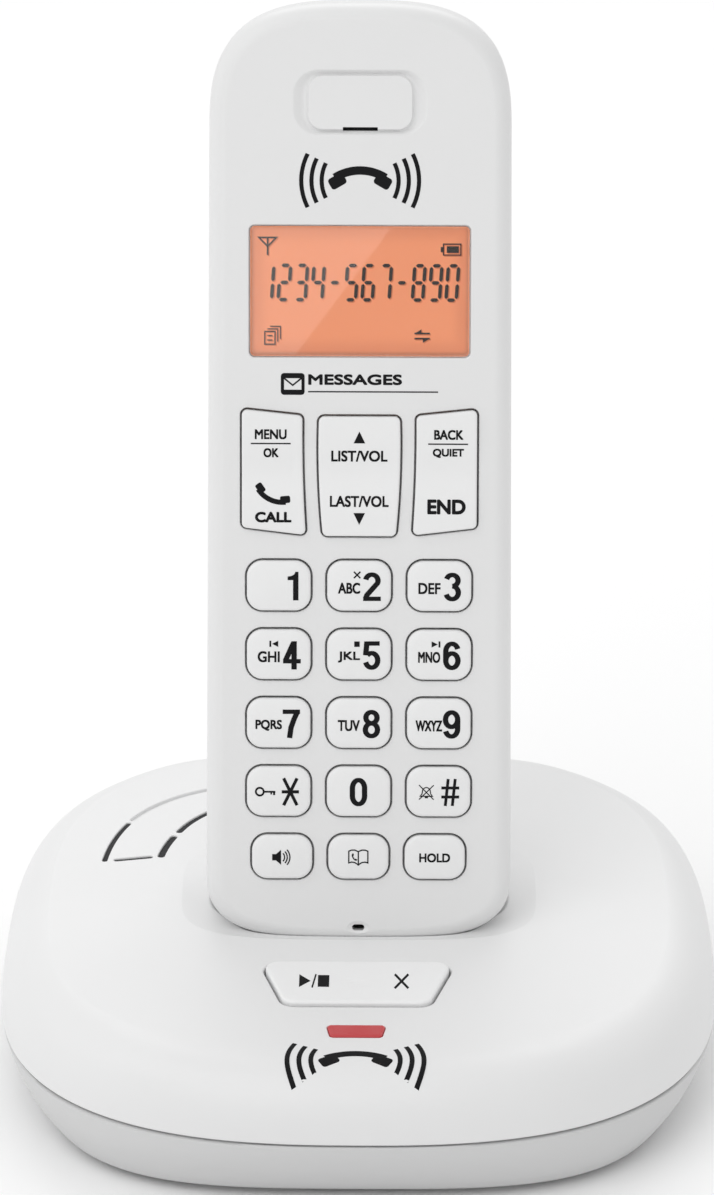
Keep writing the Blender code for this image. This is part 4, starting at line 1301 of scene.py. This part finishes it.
def make_battery_cover(mats):
    low, high = COVER_Z
    outline = rounded(upright_rectangle(COVER_HALF_WIDTH, low, high), 3.0, 12)
    profile = [(0.25, COVER_INNER_Y), (0.0, COVER_INNER_Y + 0.25)]
    profile += [(COVER_EDGE * fall, HANDSET_THICK - COVER_EDGE * left) for fall, left in quarter(8)]
    rings = [face_ring(outline(-inset), y) for inset, y in profile]
    cover = skin("cover", rings, HANDSET)
    ribs = []
    for k in range(4):
        rib_x = 7 - k
        points = [(x, HANDSET_THICK - 0.12, low + 5.0 + 2.2 * k) for x in (-rib_x, 0, rib_x)]
        ribs.append(tube("rib", points, 0.5, HANDSET, 16, UPRIGHT))
    boolean(cover, join(ribs, "ribs"), "UNION")
    arrow = prism("arrow", [Vector((-3.0, low + 17.5)), Vector((0.0, low + 14.5)),
                            Vector((3.0, low + 17.5))], HANDSET_THICK - 0.25, 28)
    boolean(cover, arrow)
    return finish_piece(cover, "battery_cover", mats["handset"], ["battery_cover"])


def make_handset_screws(mats):
    profile = ((0.9, 5.0), (0.9, 15.9), (1.9, 15.9), (1.9, 16.9), (1.6, 17.35), (1.0, 17.6))
    for side, word in SIDES:
        place = (side * HANDSET_SCREW[0], 0, HANDSET_SCREW[1])
        screw = screw_piece("casing_screw_" + word, place, "y", HANDSET, profile, 17.6, -1)
        finish_piece(screw, "handset", mats["steel"], ["handset_screw_" + word])


# ------------------------------------------------------------------ keys and display

def key_top(dx, dz, size):
    """Height of a key's gently domed top over the casing, from the key's middle."""
    bow = (2 * dx / size[0]) ** 2 + (2 * dz / size[1]) ** 2
    return KEY_PROUD + KEY_CROWN * (1 - bow)


def rocker_top(x, z):
    """Height of the rocker row: raised ends and a soft valley across the middle."""
    far = (z - ROCKER_MID_Z) / ROCKER_VALLEY_WIDTH
    return KEY_PROUD - ROCKER_VALLEY * math.exp(-far * far) + 0.0004 * x * x


def cap_rings(outline, top, middle, flange_y, edge, shares):
    """Rings of a key: hidden flange, straight sides, rounded edge and shaped top."""
    rings = [face_ring(outline(grow), y) for grow, y in
             ((FLANGE, flange_y[1]), (FLANGE, flange_y[0]), (0.0, flange_y[0]), (0.0, 0.3))]
    for fall, left in quarter(7):
        rings.append([(p.x, edge * left - top(p), p.y) for p in outline(-edge * fall)])
    rim = outline(-edge)
    for share in shares:
        points = [middle.lerp(p, share) for p in rim]
        rings.append([(p.x, -top(p), p.y) for p in points])
    return rings


def make_keys(mats):
    for name, corners, centre, size in key_table():
        def top(p, c=centre, s=size):
            return key_top(p.x - c.x, p.y - c.y, s)
        rings = cap_rings(rounded(corners, KEY_CORNER, 14), top, centre, FLANGE_Y, KEY_EDGE,
                          (0.85, 0.68, 0.5, 0.3, 0.12))
        cap = skin("cap_" + name, rings, HANDSET, None, (centre.x, -top(centre), centre.y))
        finish_piece(cap, name, mats["key"], [name])


def make_rockers(mats):
    def top(p):
        return rocker_top(p.x, p.y)

    shares = (0.93, 0.85, 0.77, 0.69, 0.61, 0.53, 0.45, 0.37, 0.29, 0.21, 0.13, 0.06)
    for name, corners in rocker_table():
        middle = Vector((sum(c[0] for c in corners) / len(corners), ROCKER_MID_Z))
        rings = cap_rings(lambda grow, c=corners: rocker_outline(c, grow), top, middle,
                          ROCKER_FLANGE_Y, ROCKER_EDGE, shares)
        cap = skin("cap_" + name, rings, HANDSET, None, (middle.x, -top(middle), middle.y))
        finish_piece(cap, name, mats["key"], [name])


def make_display(mats):
    size = (DISPLAY_SIZE[0] - 2 * PANE_GAP, DISPLAY_SIZE[1] - 2 * PANE_GAP)
    outline = rounded(rectangle(size, (0, DISPLAY_CENTRE_Z)), DISPLAY_CORNER - 0.15, 10)
    rings = [face_ring(outline(), 1.0)]
    for fall, left in quarter(4):
        rings.append(face_ring(outline(-0.3 * fall), 0.05 + 0.3 * left))
    window = skin("window_pane", rings, HANDSET)
    finish_piece(window, "handset", mats["window"], ["display_window"])
    x, z = LCD_PANEL_HALF
    panel = box("display_panel", (-x, LCD_Y, DISPLAY_CENTRE_Z - z),
                (x, LCD_BACK_Y, DISPLAY_CENTRE_Z + z), HANDSET)
    finish_piece(panel, "handset", mats["display"], ["lcd_panel"], weighted=False)


# ------------------------------------------------------------------ prints

def text_shape(body, width, height, bold):
    """Flat filled lettering of a given size, centred on the origin; bold thickens it.

    The thicker letters are copies shifted by bold in several directions.
    """
    curve = bpy.data.curves.new("text", "FONT")
    curve.body = body
    curve.resolution_u = 5
    obj = bpy.data.objects.new("text", curve)
    bpy.context.scene.collection.objects.link(obj)
    graph = bpy.context.evaluated_depsgraph_get()
    mesh = bpy.data.meshes.new_from_object(obj.evaluated_get(graph))
    bpy.data.objects.remove(obj, do_unlink=True)
    points = [vertex.co.xy for vertex in mesh.vertices]
    low = Vector((min(p.x for p in points), min(p.y for p in points)))
    high = Vector((max(p.x for p in points), max(p.y for p in points)))
    middle = (low + high) / 2
    across = (width - 2 * bold) / (high.x - low.x)
    up = (height - 2 * bold) / (high.y - low.y)
    flat = [Vector(((p.x - middle.x) * across, (p.y - middle.y) * up)) for p in points]
    faces = [tuple(polygon.vertices) for polygon in mesh.polygons]
    copies = [(flat, faces)]
    number = 8 if bold > 0.08 else 4
    for k in range(number):
        turn = 2 * math.pi * (k + 0.5) / number
        copies.append(placed((flat, faces), bold * math.cos(turn), bold * math.sin(turn)))
    return copies


def filled(*loops):
    """Flat shape from an outer loop and any holes."""
    points = [Vector(p) for loop in loops for p in loop]
    faces = tessellate_polygon([[Vector((p[0], p[1], 0)) for p in loop] for loop in loops])
    return points, [tuple(face) for face in faces]


def stroke(points, width, closed=False):
    """Flat line of a given width, or of one width for each point."""
    path = [Vector(p) for p in points]
    count = len(path)
    widths = list(width) if isinstance(width, (list, tuple)) else [width] * count
    out = []
    for i, here in enumerate(path):
        behind = path[i - 1] if closed or i else None
        ahead = path[(i + 1) % count] if closed or i < count - 1 else None
        into = (here - behind).normalized() if behind is not None else None
        away = (ahead - here).normalized() if ahead is not None else None
        into = into or away
        away = away or into
        bend = (into + away).normalized()
        side = Vector((-bend.y, bend.x))
        spread = widths[i] / 2 / max(0.4, bend.dot(away))
        out.extend((here + side * spread, here - side * spread))
    faces = []
    for i in range(count if closed else count - 1):
        j = (i + 1) % count
        faces.append((2 * i, 2 * i + 1, 2 * j + 1, 2 * j))
    return out, faces


def arc(radius, start, end, count=14, centre=(0.0, 0.0)):
    """Points along a circle between two angles in degrees."""
    points = []
    for k in range(count + 1):
        turn = math.radians(start + (end - start) * k / count)
        points.append((centre[0] + radius * math.cos(turn), centre[1] + radius * math.sin(turn)))
    return points


def placed(shape, x=0.0, z=0.0, turn=0.0):
    """Flat shape turned by degrees and moved."""
    c = math.cos(math.radians(turn))
    s = math.sin(math.radians(turn))
    points, faces = shape
    return [Vector((x + p.x * c - p.y * s, z + p.x * s + p.y * c)) for p in points], faces


def united(shapes, step):
    """One flat mesh that covers all shapes once, split along a grid of the given step."""
    points = []
    faces = []
    for shape_points, shape_faces in shapes:
        faces.extend([tuple(i + len(points) for i in face) for face in shape_faces])
        points.extend(Vector(p) for p in shape_points)
    edges = []
    if step:
        low = [min(p[axis] for p in points) - 0.1 for axis in (0, 1)]
        high = [max(p[axis] for p in points) + 0.1 for axis in (0, 1)]
        for axis in (0, 1):
            for k in range(1, math.ceil((high[axis] - low[axis]) / step)):
                for end in (low, high):
                    point = Vector(end)
                    point[axis] = low[axis] + k * step
                    points.append(point)
                edges.append((len(points) - 2, len(points) - 1))
    spots, _, cells, _, _, _ = delaunay_2d_cdt(points, edges, faces, 0, 0.0005)
    cells = np.array([tuple(cell) for cell in cells])
    middles = np.array([tuple(spot) for spot in spots])[cells].mean(axis=1)
    covered = np.zeros(len(cells), dtype=bool)
    for face in faces:
        corners = np.array([tuple(points[i]) for i in face])
        following = np.roll(corners, -1, axis=0)
        side = following - corners
        turns = (side[:, :1] * (middles[:, 1] - corners[:, 1:])
                 - side[:, 1:] * (middles[:, 0] - corners[:, :1]))
        covered |= np.all(turns > 0, axis=0) | np.all(turns < 0, axis=0)
    return spots, [tuple(int(i) for i in cell) for cell in cells[covered]]


def print_on(name, body, mat, shapes, lay, matrix, step=0.0):
    """Thin printed layer: closed solids standing INK above and below the surface."""
    points, faces = united(shapes, step)
    used = sorted({i for face in faces for i in face})
    bm = bmesh.new()
    low = {i: bm.verts.new(lay(points[i], -INK)) for i in used}
    high = {i: bm.verts.new(lay(points[i], INK)) for i in used}
    edges = {}
    for face in faces:
        bm.faces.new([low[i] for i in reversed(face)])
        bm.faces.new([high[i] for i in face])
        for a, b in zip(face, face[1:] + face[:1]):
            key = (min(a, b), max(a, b))
            edges[key] = edges.get(key, 0) + 1
    for (a, b), uses in edges.items():
        if uses == 1:
            bm.faces.new((low[a], low[b], high[b], high[a]))
    bmesh.ops.recalc_face_normals(bm, faces=bm.faces)
    obj = object_from_bmesh(name, bm, matrix)
    return finish_piece(obj, body, mat, smooth=30.0, weighted=False)


def on_front(p, level):
    return (p.x, -level, p.y)


def on_rocker(p, level):
    return (p.x, -rocker_top(p.x, p.y) - level, p.y)


def receiver(length, thick):
    """Telephone receiver lying across: a bowed handle with a block at each end."""
    radius = 0.8 * length
    shapes = [stroke(arc(radius, 122, 58, 16, (0, -radius)), thick)]
    block = [tuple(p) for p in rounded_polygon(rectangle((0.28 * length, 0.20 * length)),
                                               0.05 * length, 4)]
    for side in (-1, 1):
        shapes.append(placed(filled(block), side * 0.38 * length, -0.18 * length, turn=-side * 30))
    return shapes


def waves(first, step, number, width, facing, spread):
    """Arcs of growing radius that face one way."""
    return [stroke(arc(first + step * k, facing - spread, facing + spread, 12), width)
            for k in range(number)]


def cordless_mark(size):
    """Plain pictogram: a receiver between two sets of waves."""
    shapes = placed_all(receiver(size, size * 0.14), 0, size * 0.17)
    for facing in (0, 180):
        shapes.extend(waves(size * 0.64, size * 0.17, 3, size * 0.07, facing, 27))
    return shapes


def triangle(width, height, turn=0.0):
    return placed(filled(((-width / 2, -height / 2), (width / 2, -height / 2), (0, height / 2))),
                  turn=turn)


def square(width, height):
    return filled(rectangle((width, height)))


def cross(size, width):
    h = size / 2
    return [stroke(((-h, -h), (h, h)), width), stroke(((-h, h), (h, -h)), width)]


def placed_all(shapes, x=0.0, z=0.0, turn=0.0):
    return [placed(shape, x, z, turn) for shape in shapes]


def previous_mark():
    return [placed(triangle(0.95, 0.95, 90), 0.3, 0), placed(square(0.28, 0.95), -0.45, 0)]


def next_mark():
    return placed_all(previous_mark(), turn=180)


def key_mark():
    return [stroke(arc(0.62, 0, 342, 19, (-0.95, 0)), 0.30, closed=True),
            stroke(((-0.36, 0), (1.5, 0)), 0.28), placed(square(0.32, 0.55), 1.3, -0.25),
            placed(square(0.24, 0.45), 0.85, -0.2)]


def silent_mark():
    """Bell struck out by a cross."""
    bell = [(-0.95, -0.62), (-0.66, -0.2)] + arc(0.62, 180, 0, 12, (0, 0.15))
    bell += [(0.66, -0.2), (0.95, -0.62)]
    return [stroke(bell, 0.16, closed=True), placed(square(0.5, 0.22), 0, -0.82)] + cross(2.3, 0.16)


def star_mark():
    return [stroke(((-1.05, -2.15), (1.05, 2.15)), 0.5), stroke(((-1.05, 2.15), (1.05, -2.15)), 0.5),
            stroke(((-1.35, 0), (1.35, 0)), 0.5)]


def hash_mark():
    shapes = []
    for x in (-0.55, 0.55):
        shapes.append(stroke(((x - 0.22, -2.15), (x + 0.22, 2.15)), 0.46))
    for z in (-0.72, 0.72):
        shapes.append(stroke(((-1.4, z), (1.4, z)), 0.46))
    return shapes


def speaker_mark():
    horn = filled(((-1.55, -0.5), (-0.95, -0.5), (-0.15, -1.2), (-0.15, 1.2), (-0.95, 0.5),
                   (-1.55, 0.5)))
    return [horn] + placed_all(waves(0.95, 0.42, 3, 0.2, 0, 42), -0.55, 0)


def book_mark():
    """Open book with a receiver on its left page."""
    shapes = placed_all(receiver(1.25, 0.2), -0.8, -0.05, turn=120)
    for side in (-1, 1):
        page = [(0.0, -1.15), (0.0, 0.95)]
        page += [(side * x, z) for x, z in ((0.55, 1.2), (1.05, 1.2), (1.5, 1.02), (1.5, -0.85),
                                            (1.05, -0.72), (0.55, -0.8))]
        shapes.append(stroke(page, 0.2, closed=True))
    return shapes


def pen(points, closed=False):
    """Bold condensed stroke: heavier where it runs up and down than where it runs across."""
    path = [Vector(p) for p in points]
    widths = [DIGIT_BAR + (DIGIT_STEM - DIGIT_BAR) * abs(heading(path, i, closed).y)
              for i in range(len(path))]
    return stroke(path, widths, closed)


def oval(x, z, wide, high, start, end):
    """Points along an ellipse between two angles."""
    return [(x + wide * p[0], z + high * p[1]) for p in arc(1.0, start, end, 20)]


def digit(sign):
    """Bold condensed numeral, drawn by the middle lines of its strokes."""
    w = (DIGIT_SIZE[0] - DIGIT_STEM) / 2
    h = (DIGIT_SIZE[1] - DIGIT_BAR) / 2
    if sign == "0":
        return [pen(oval(0, h - 1.3, w, 1.3, 0, 180) + oval(0, 1.3 - h, w, 1.3, 180, 360), True)]
    if sign == "1":
        top = DIGIT_SIZE[1] / 2
        return [filled(((0.0, -top), (DIGIT_STEM, -top), (DIGIT_STEM, top), (0.35, top),
                        (0.22, top - 0.35), (-0.15, top - 0.62), (-0.85, top - 0.75),
                        (-0.85, top - 1.3), (0.0, top - 1.3)))]
    if sign == "2":
        return [pen(oval(0, h - w, w, w, 170, -25) + [(-w + 0.15, -h + 0.55), (-w, -h)]),
                pen(((-w - 0.4, -h), (w + 0.45, -h)))]
    if sign == "3":
        return [pen(oval(0, h - 0.88, w - 0.05, 0.88, 165, -90)),
                pen(oval(0, -h + 1.02, w, 1.02, 90, -165))]
    if sign == "4":
        return [pen(((0.42, h + 0.3), (0.42, -h - 0.35))), pen(((-w - 0.35, -0.95), (w + 0.5, -0.95))),
                pen(((0.3, h), (-w, -0.9)))]
    if sign == "5":
        return [pen(((-w + 0.1, h), (w + 0.3, h))), pen(((-w + 0.22, h + 0.3), (-w + 0.02, 0.05))),
                pen(oval(0, -h + 1.15, w, 1.15, 135, -165))]
    if sign in "69":
        turn = 180 if sign == "9" else 0
        return placed_all([pen(oval(0, -h + 1.15, w, 1.15, 0, 342), True),
                           pen(oval(0, h - 1.2, w, 1.2, 18, 180) + [(-w, -h + 1.1)])], turn=turn)
    if sign == "7":
        return [pen(((-w - 0.4, h), (w + 0.4, h))),
                pen(((w, h), (0.42, 0.75), (-0.05, -0.6), (-0.28, -h - 0.35)))]
    return [pen(oval(0, h - 0.88, w - 0.08, 0.88, 0, 342), True),
            pen(oval(0, -h + 1.02, w, 1.02, 0, 342), True)]


SEGMENTS = {
    "0": "abcdef", "1": "bc", "2": "abged", "3": "abgcd", "4": "fgbc", "5": "afgcd",
    "6": "afgedc", "7": "abc", "8": "abcdefg", "9": "abcdfg", "-": "g",
}


def seven_segment(sign, width, height, thick):
    """Slightly leaning seven-segment character, one tapered bar for each lit segment."""
    w = width / 2
    h = height / 2
    gap = thick * 0.28
    bars = {
        "a": ((-w, h), (w, h)), "d": ((-w, -h), (w, -h)), "g": ((-w, 0), (w, 0)),
        "f": ((-w, h), (-w, 0)), "b": ((w, h), (w, 0)),
        "e": ((-w, 0), (-w, -h)), "c": ((w, 0), (w, -h)),
    }
    shapes = []
    for name in SEGMENTS[sign]:
        start = Vector(bars[name][0])
        end = Vector(bars[name][1])
        ahead = (end - start).normalized()
        side = Vector((-ahead.y, ahead.x)) * thick / 2
        start = start + ahead * gap
        end = end - ahead * gap
        cut = ahead * thick * 0.5
        loop = (start, start + cut + side, end - cut + side, end, end - cut - side,
                start + cut - side)
        shapes.append(filled([(p.x + 0.07 * p.y, p.y) for p in loop]))
    return shapes


def display_shapes():
    """Number in seven-segment digits, with signs in the corners of the display."""
    shapes = []
    for place, sign in enumerate("1234-567-890"):
        x = (place - 5.5) * SEGMENT_PITCH
        shapes.extend(placed_all(seven_segment(sign, 1.6, 5.35, 0.56), x, SEGMENT_ROW_Z))
    # Aerial, battery, message pages and exchange arrows.
    aerial = [stroke(((-1.35, 1.3), (1.35, 1.3), (0, -0.1)), 0.26, closed=True),
              stroke(((0, 1.3), (0, -1.45)), 0.28)]
    shapes.extend(placed_all(aerial, -14.35, 110.3))
    battery = [stroke(rectangle((2.7, 1.7)), 0.2, closed=True),
               placed(square(1.9, 1.05), 0.1, 0), placed(square(0.35, 0.8), -1.6, 0)]
    shapes.extend(placed_all(battery, 14.3, 109.8))
    page = rectangle((1.6, 2.0), (-14.0, 95.95))
    shapes.append(stroke(page, 0.2, closed=True))
    shapes.append(placed(square(0.8, 0.2), -14.0, 96.3))
    shapes.append(placed(square(0.8, 0.2), -14.0, 95.6))
    for k in (1, 2):
        x = -14.0 + 0.42 * k
        z = 95.95 + 0.4 * k
        shapes.append(stroke(((x - 0.8, z + 1.0), (x + 0.8, z + 1.0), (x + 0.8, z - 1.0)), 0.18))
    for turn, z in ((0, 96.7), (180, 95.9)):
        arrow = [stroke(((-1.2, 0), (1.2, 0)), 0.27), filled(((-1.2, 0), (-0.1, 0), (-0.1, 0.65)))]
        shapes.extend(placed_all(arrow, 9.7, z, turn=turn))
    return shapes


def make_display_prints(mats):
    shapes = display_shapes()

    def on_display(p, level):
        return (p.x, LCD_Y - 0.035 - level, p.y)

    def on_reflector(p, level):
        return (p.x + 0.17, LCD_Y - 0.012 - level * 0.3, p.y - 0.17)
    print_on("display_segments", "handset", mats["segment"], shapes, on_display, HANDSET)
    print_on("display_segment_shadows", "handset", mats["shadow"], shapes, on_reflector, HANDSET)


def make_casing_prints(mats):
    shapes = placed_all(cordless_mark(9.3), 0, 120.6)
    # Message sign under the display: an envelope in a dark square, its caption and a rule.
    panel = [tuple(p) for p in rounded_polygon(rectangle((3.7, 3.4), (-10.4, 88.95)), 0.5, 5)]
    shapes.append(filled(panel, rectangle((2.7, 1.8), (-10.4, 88.95))))
    shapes.append(stroke(((-11.75, 89.85), (-10.4, 88.75), (-9.05, 89.85)), 0.24))
    shapes.extend(placed_all(text_shape("MESSAGES", 14.6, 1.7, 0.10), -0.7, 89.65))
    shapes.append(placed(square(20.2, 0.2), 2.1, 87.75))
    print_on("casing_prints", "handset", mats["ink"], shapes, on_front, HANDSET)


def key_legends():
    """Flat legends of each key, by key name, round the middle of its top."""
    legends = {
        "key_1": placed_all(digit("1"), 2.25),
        "key_star": placed_all(key_mark(), -2.0) + placed_all(star_mark(), 1.85),
        "key_0": digit("0"),
        "key_hash": placed_all(silent_mark(), -1.9) + placed_all(hash_mark(), 1.85),
        "key_speaker": speaker_mark(),
        "key_phonebook": book_mark(),
        "key_recall": text_shape("HOLD", 4.9, 1.5, 0.08),
    }
    letters = ("ABC", "DEF", "GHI", "JKL", "MNO", "PQRS", "TUV", "WXYZ")
    for number, group in enumerate(letters, 2):
        width = 4.2 if len(group) == 4 else 3.5
        legend = placed_all(digit(str(number)), 2.0, -0.05)
        legend.extend(placed_all(text_shape(group, width, 1.8, 0.08), -1.55, -0.3))
        legends["key_%d" % number] = legend
    # Small functions over four of the keys.
    legends["key_2"] += placed_all(cross(1.0, 0.22), -0.3, 1.8)
    legends["key_4"] += placed_all(previous_mark(), -0.85, 1.75)
    legends["key_5"] += [placed(square(0.85, 0.85), -0.3, 1.75)]
    legends["key_6"] += placed_all(next_mark(), -0.4, 1.75)
    return legends


def make_key_prints(mats):
    legends = key_legends()
    for name, _, centre, size in key_table():
        def on_key(p, level, c=centre, s=size):
            return (p.x + c.x, -key_top(p.x, p.y, s) - level, p.y + c.y)
        print_on("print_" + name, name, mats["ink"], legends[name], on_key, HANDSET, PRINT_STEP)


def caption(body, width, height, x, z, bold=0.08):
    return placed_all(text_shape(body, width, height, bold), x, z)


def make_rocker_prints(mats):
    left = caption("MENU", 5.0, 1.6, -13.8, 81.15) + caption("OK", 2.4, 1.5, -13.75, 78.25)
    left += caption("CALL", 5.7, 1.7, -13.4, 68.15, 0.11)
    left += placed_all(receiver(5.6, 0.8), -13.9, 70.9, turn=155)
    left += [placed(square(6.2, 0.2), -13.8, 79.7)]
    middle = caption("LIST/VOL", 8.8, 1.8, 0, 77.75) + caption("LAST/VOL", 9.2, 1.8, 0, 70.65)
    middle += [placed(triangle(1.8, 1.85), 0, 80.7), placed(triangle(1.8, 1.85, 180), 0, 67.9)]
    right = caption("BACK", 4.6, 1.6, 13.9, 81.15) + caption("QUIET", 4.9, 1.5, 13.85, 78.25)
    right += caption("END", 6.0, 2.35, 13.6, 69.85, 0.14)
    right += [placed(square(6.2, 0.2), 13.8, 79.7)]
    for name, shapes in (("rocker_menu_talk", left), ("rocker_up_down", middle),
                         ("rocker_mute_off", right)):
        print_on("print_" + name, name, mats["ink"], shapes, on_rocker, HANDSET, PRINT_STEP)


def make_base_prints(mats):
    legends = [placed(triangle(1.9, 1.75, -90), -8.1), placed(square(1.75, 1.75), -5.2),
               stroke(((-6.95, -1.0), (-6.4, 1.0)), 0.24)]
    legends.extend(placed_all(cross(2.1, 0.34), 6.9))

    def on_base_rocker(p, level):
        # The legends are stretched in depth, to look upright from the front.
        return (p.x, BASE_ROCKER_MID_Y + LEGEND_STRETCH * p.y, base_rocker_top(p.x) + level)
    print_on("print_base_rocker", "base_rocker_key", mats["ink"], legends, on_base_rocker, SLOPE,
             PRINT_STEP)

    def on_slope(p, level):
        return (p.x, p.y, level - front_drop(p.y))
    mark = placed_all(cordless_mark(10.6), 0, -50.6)
    print_on("base_print", "base", mats["ink"], mark, on_slope, SLOPE, PRINT_STEP)


# ------------------------------------------------------------------ carried-over pieces

def dress_frame_nodes(mats):
    """Give the inner pieces that keep their design shape their finished materials."""
    dressed = {
        "board": ("handset_circuit_board", "base_circuit_board", "button_board"),
        "rubber": ("keypad_membrane",),
        "light": ("lcd_backlight",),
        "lamp": ("in_use_led",),
        "cloth": ("earpiece_speaker", "microphone", "base_speaker"),
        "cell": ("battery_cell_left", "battery_cell_right"),
        "contact": ("battery_link_plate", "battery_contact_left", "battery_contact_right",
                    "handset_charge_contact_left", "handset_charge_contact_right"),
    }
    for key, names in dressed.items():
        for name in names:
            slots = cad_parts[name].material_slots
            if slots:
                slots[0].material = mats[key]
            else:
                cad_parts[name].data.materials.append(mats[key])


# ------------------------------------------------------------------ studio

def make_floor():
    mat, shader = plain_material("studio_floor")
    shader.inputs["Roughness"].default_value = 0.6
    mottled(mat, shader, noise(mat, 6.0, 2.0), (0.93, 0.93, 0.93), (0.95, 0.95, 0.95))
    bm = bmesh.new()
    bmesh.ops.create_grid(bm, x_segments=1, y_segments=1, size=4000.0)
    floor = object_from_bmesh("studio_floor", bm, TABLE)
    floor.data.materials.append(mat)


def area_light(name, size, power):
    data = bpy.data.lights.new(name, "AREA")
    data.shape = "RECTANGLE"
    data.size = size[0]
    data.size_y = size[1]
    data.energy = power
    lamp = bpy.data.objects.new(name, data)
    lamp.visible_camera = False
    bpy.context.scene.collection.objects.link(lamp)
    return lamp


def make_lights():
    world = bpy.data.worlds.new("studio")
    bpy.context.scene.world = world
    world.use_nodes = True
    world.node_tree.nodes["Background"].inputs["Color"].default_value = (1, 1, 1, 1)
    world.node_tree.nodes["Background"].inputs["Strength"].default_value = WORLD_LIGHT
    for name, place, aim, size, power in (
            ("key", (-0.45, -0.45, 0.95), (0, 0, 0.07), (0.9, 0.9), KEY_LIGHT),
            ("back", (0.05, 0.75, 0.85), (0, 0, 0.06), (0.9, 0.5), BACK_LIGHT),
            ("side", (-0.95, 0.1, 0.45), (0, 0, 0.04), (0.6, 0.6), SIDE_LIGHT)):
        lamp = area_light(name, size, power)
        lamp.location = place
        lamp.rotation_euler = (Vector(aim) - Vector(place)).to_track_quat("-Z", "Y").to_euler()


def make_window_reflection():
    """Low softbox in front whose slanting edge shows in the display window."""
    face = (HANDSET.to_3x3() @ Vector((0, -1, 0))).normalized()
    spot = HANDSET @ Vector((0, 0, DISPLAY_CENTRE_Z)) * MM
    view = (spot - bpy.context.scene.camera.location).normalized()
    bounce = (view - 2 * view.dot(face) * face).normalized()
    across = Vector((1, 0, 0))
    upward = bounce.cross(across).normalized()
    if upward.z < 0:
        upward = -upward
    # The edge leans as the gloss line does; the light lies to its upper left as seen.
    tilt = math.radians(GLOSS_TILT)
    edge = across * math.cos(tilt) + upward * math.sin(tilt)
    away = across * -math.sin(tilt) + upward * math.cos(tilt)
    centre = spot + bounce * GLOSS_DISTANCE + away * (GLOSS_SIZE / 2 + GLOSS_SHIFT)
    lamp = area_light("gloss", (GLOSS_SIZE * 1.4, GLOSS_SIZE), GLOSS_LIGHT)
    basis = Matrix((edge, bounce.cross(edge), bounce)).transposed()
    lamp.matrix_world = Matrix.Translation(centre) @ basis.to_4x4()
    lamp.visible_diffuse = False


def make_camera():
    data = bpy.data.cameras.new("camera")
    data.sensor_width = 36.0
    data.lens = CAMERA_LENS
    camera = bpy.data.objects.new("camera", data)
    level = math.cos(CAMERA_ELEVATION)
    away = Vector((level * math.sin(CAMERA_AZIMUTH), -level * math.cos(CAMERA_AZIMUTH),
                   math.sin(CAMERA_ELEVATION)))
    camera.location = Vector(CAMERA_AIM) + away * CAMERA_DISTANCE
    camera.rotation_euler = (math.pi / 2 - CAMERA_ELEVATION, 0, CAMERA_AZIMUTH)
    bpy.context.scene.collection.objects.link(camera)
    bpy.context.scene.camera = camera
    bpy.context.view_layer.update()


# ------------------------------------------------------------------ assembly

MATS = make_materials()
for make in (make_base_top, make_base_bottom, make_slot_shade_strips, make_base_fittings, make_line_jack,
             make_power_jack, make_base_rocker, make_lamp_lens, make_charge_pins,
             make_front_shell, make_rear_shell, make_battery_cover, make_handset_screws,
             make_keys, make_rockers, make_display, make_display_prints, make_casing_prints,
             make_key_prints, make_rocker_prints, make_base_prints, dress_frame_nodes):
    make(MATS)
make_floor()
make_camera()
make_lights()
make_window_reflection()
bpy.context.scene.view_settings.view_transform = "Standard"

bpy.context.view_layer.update()
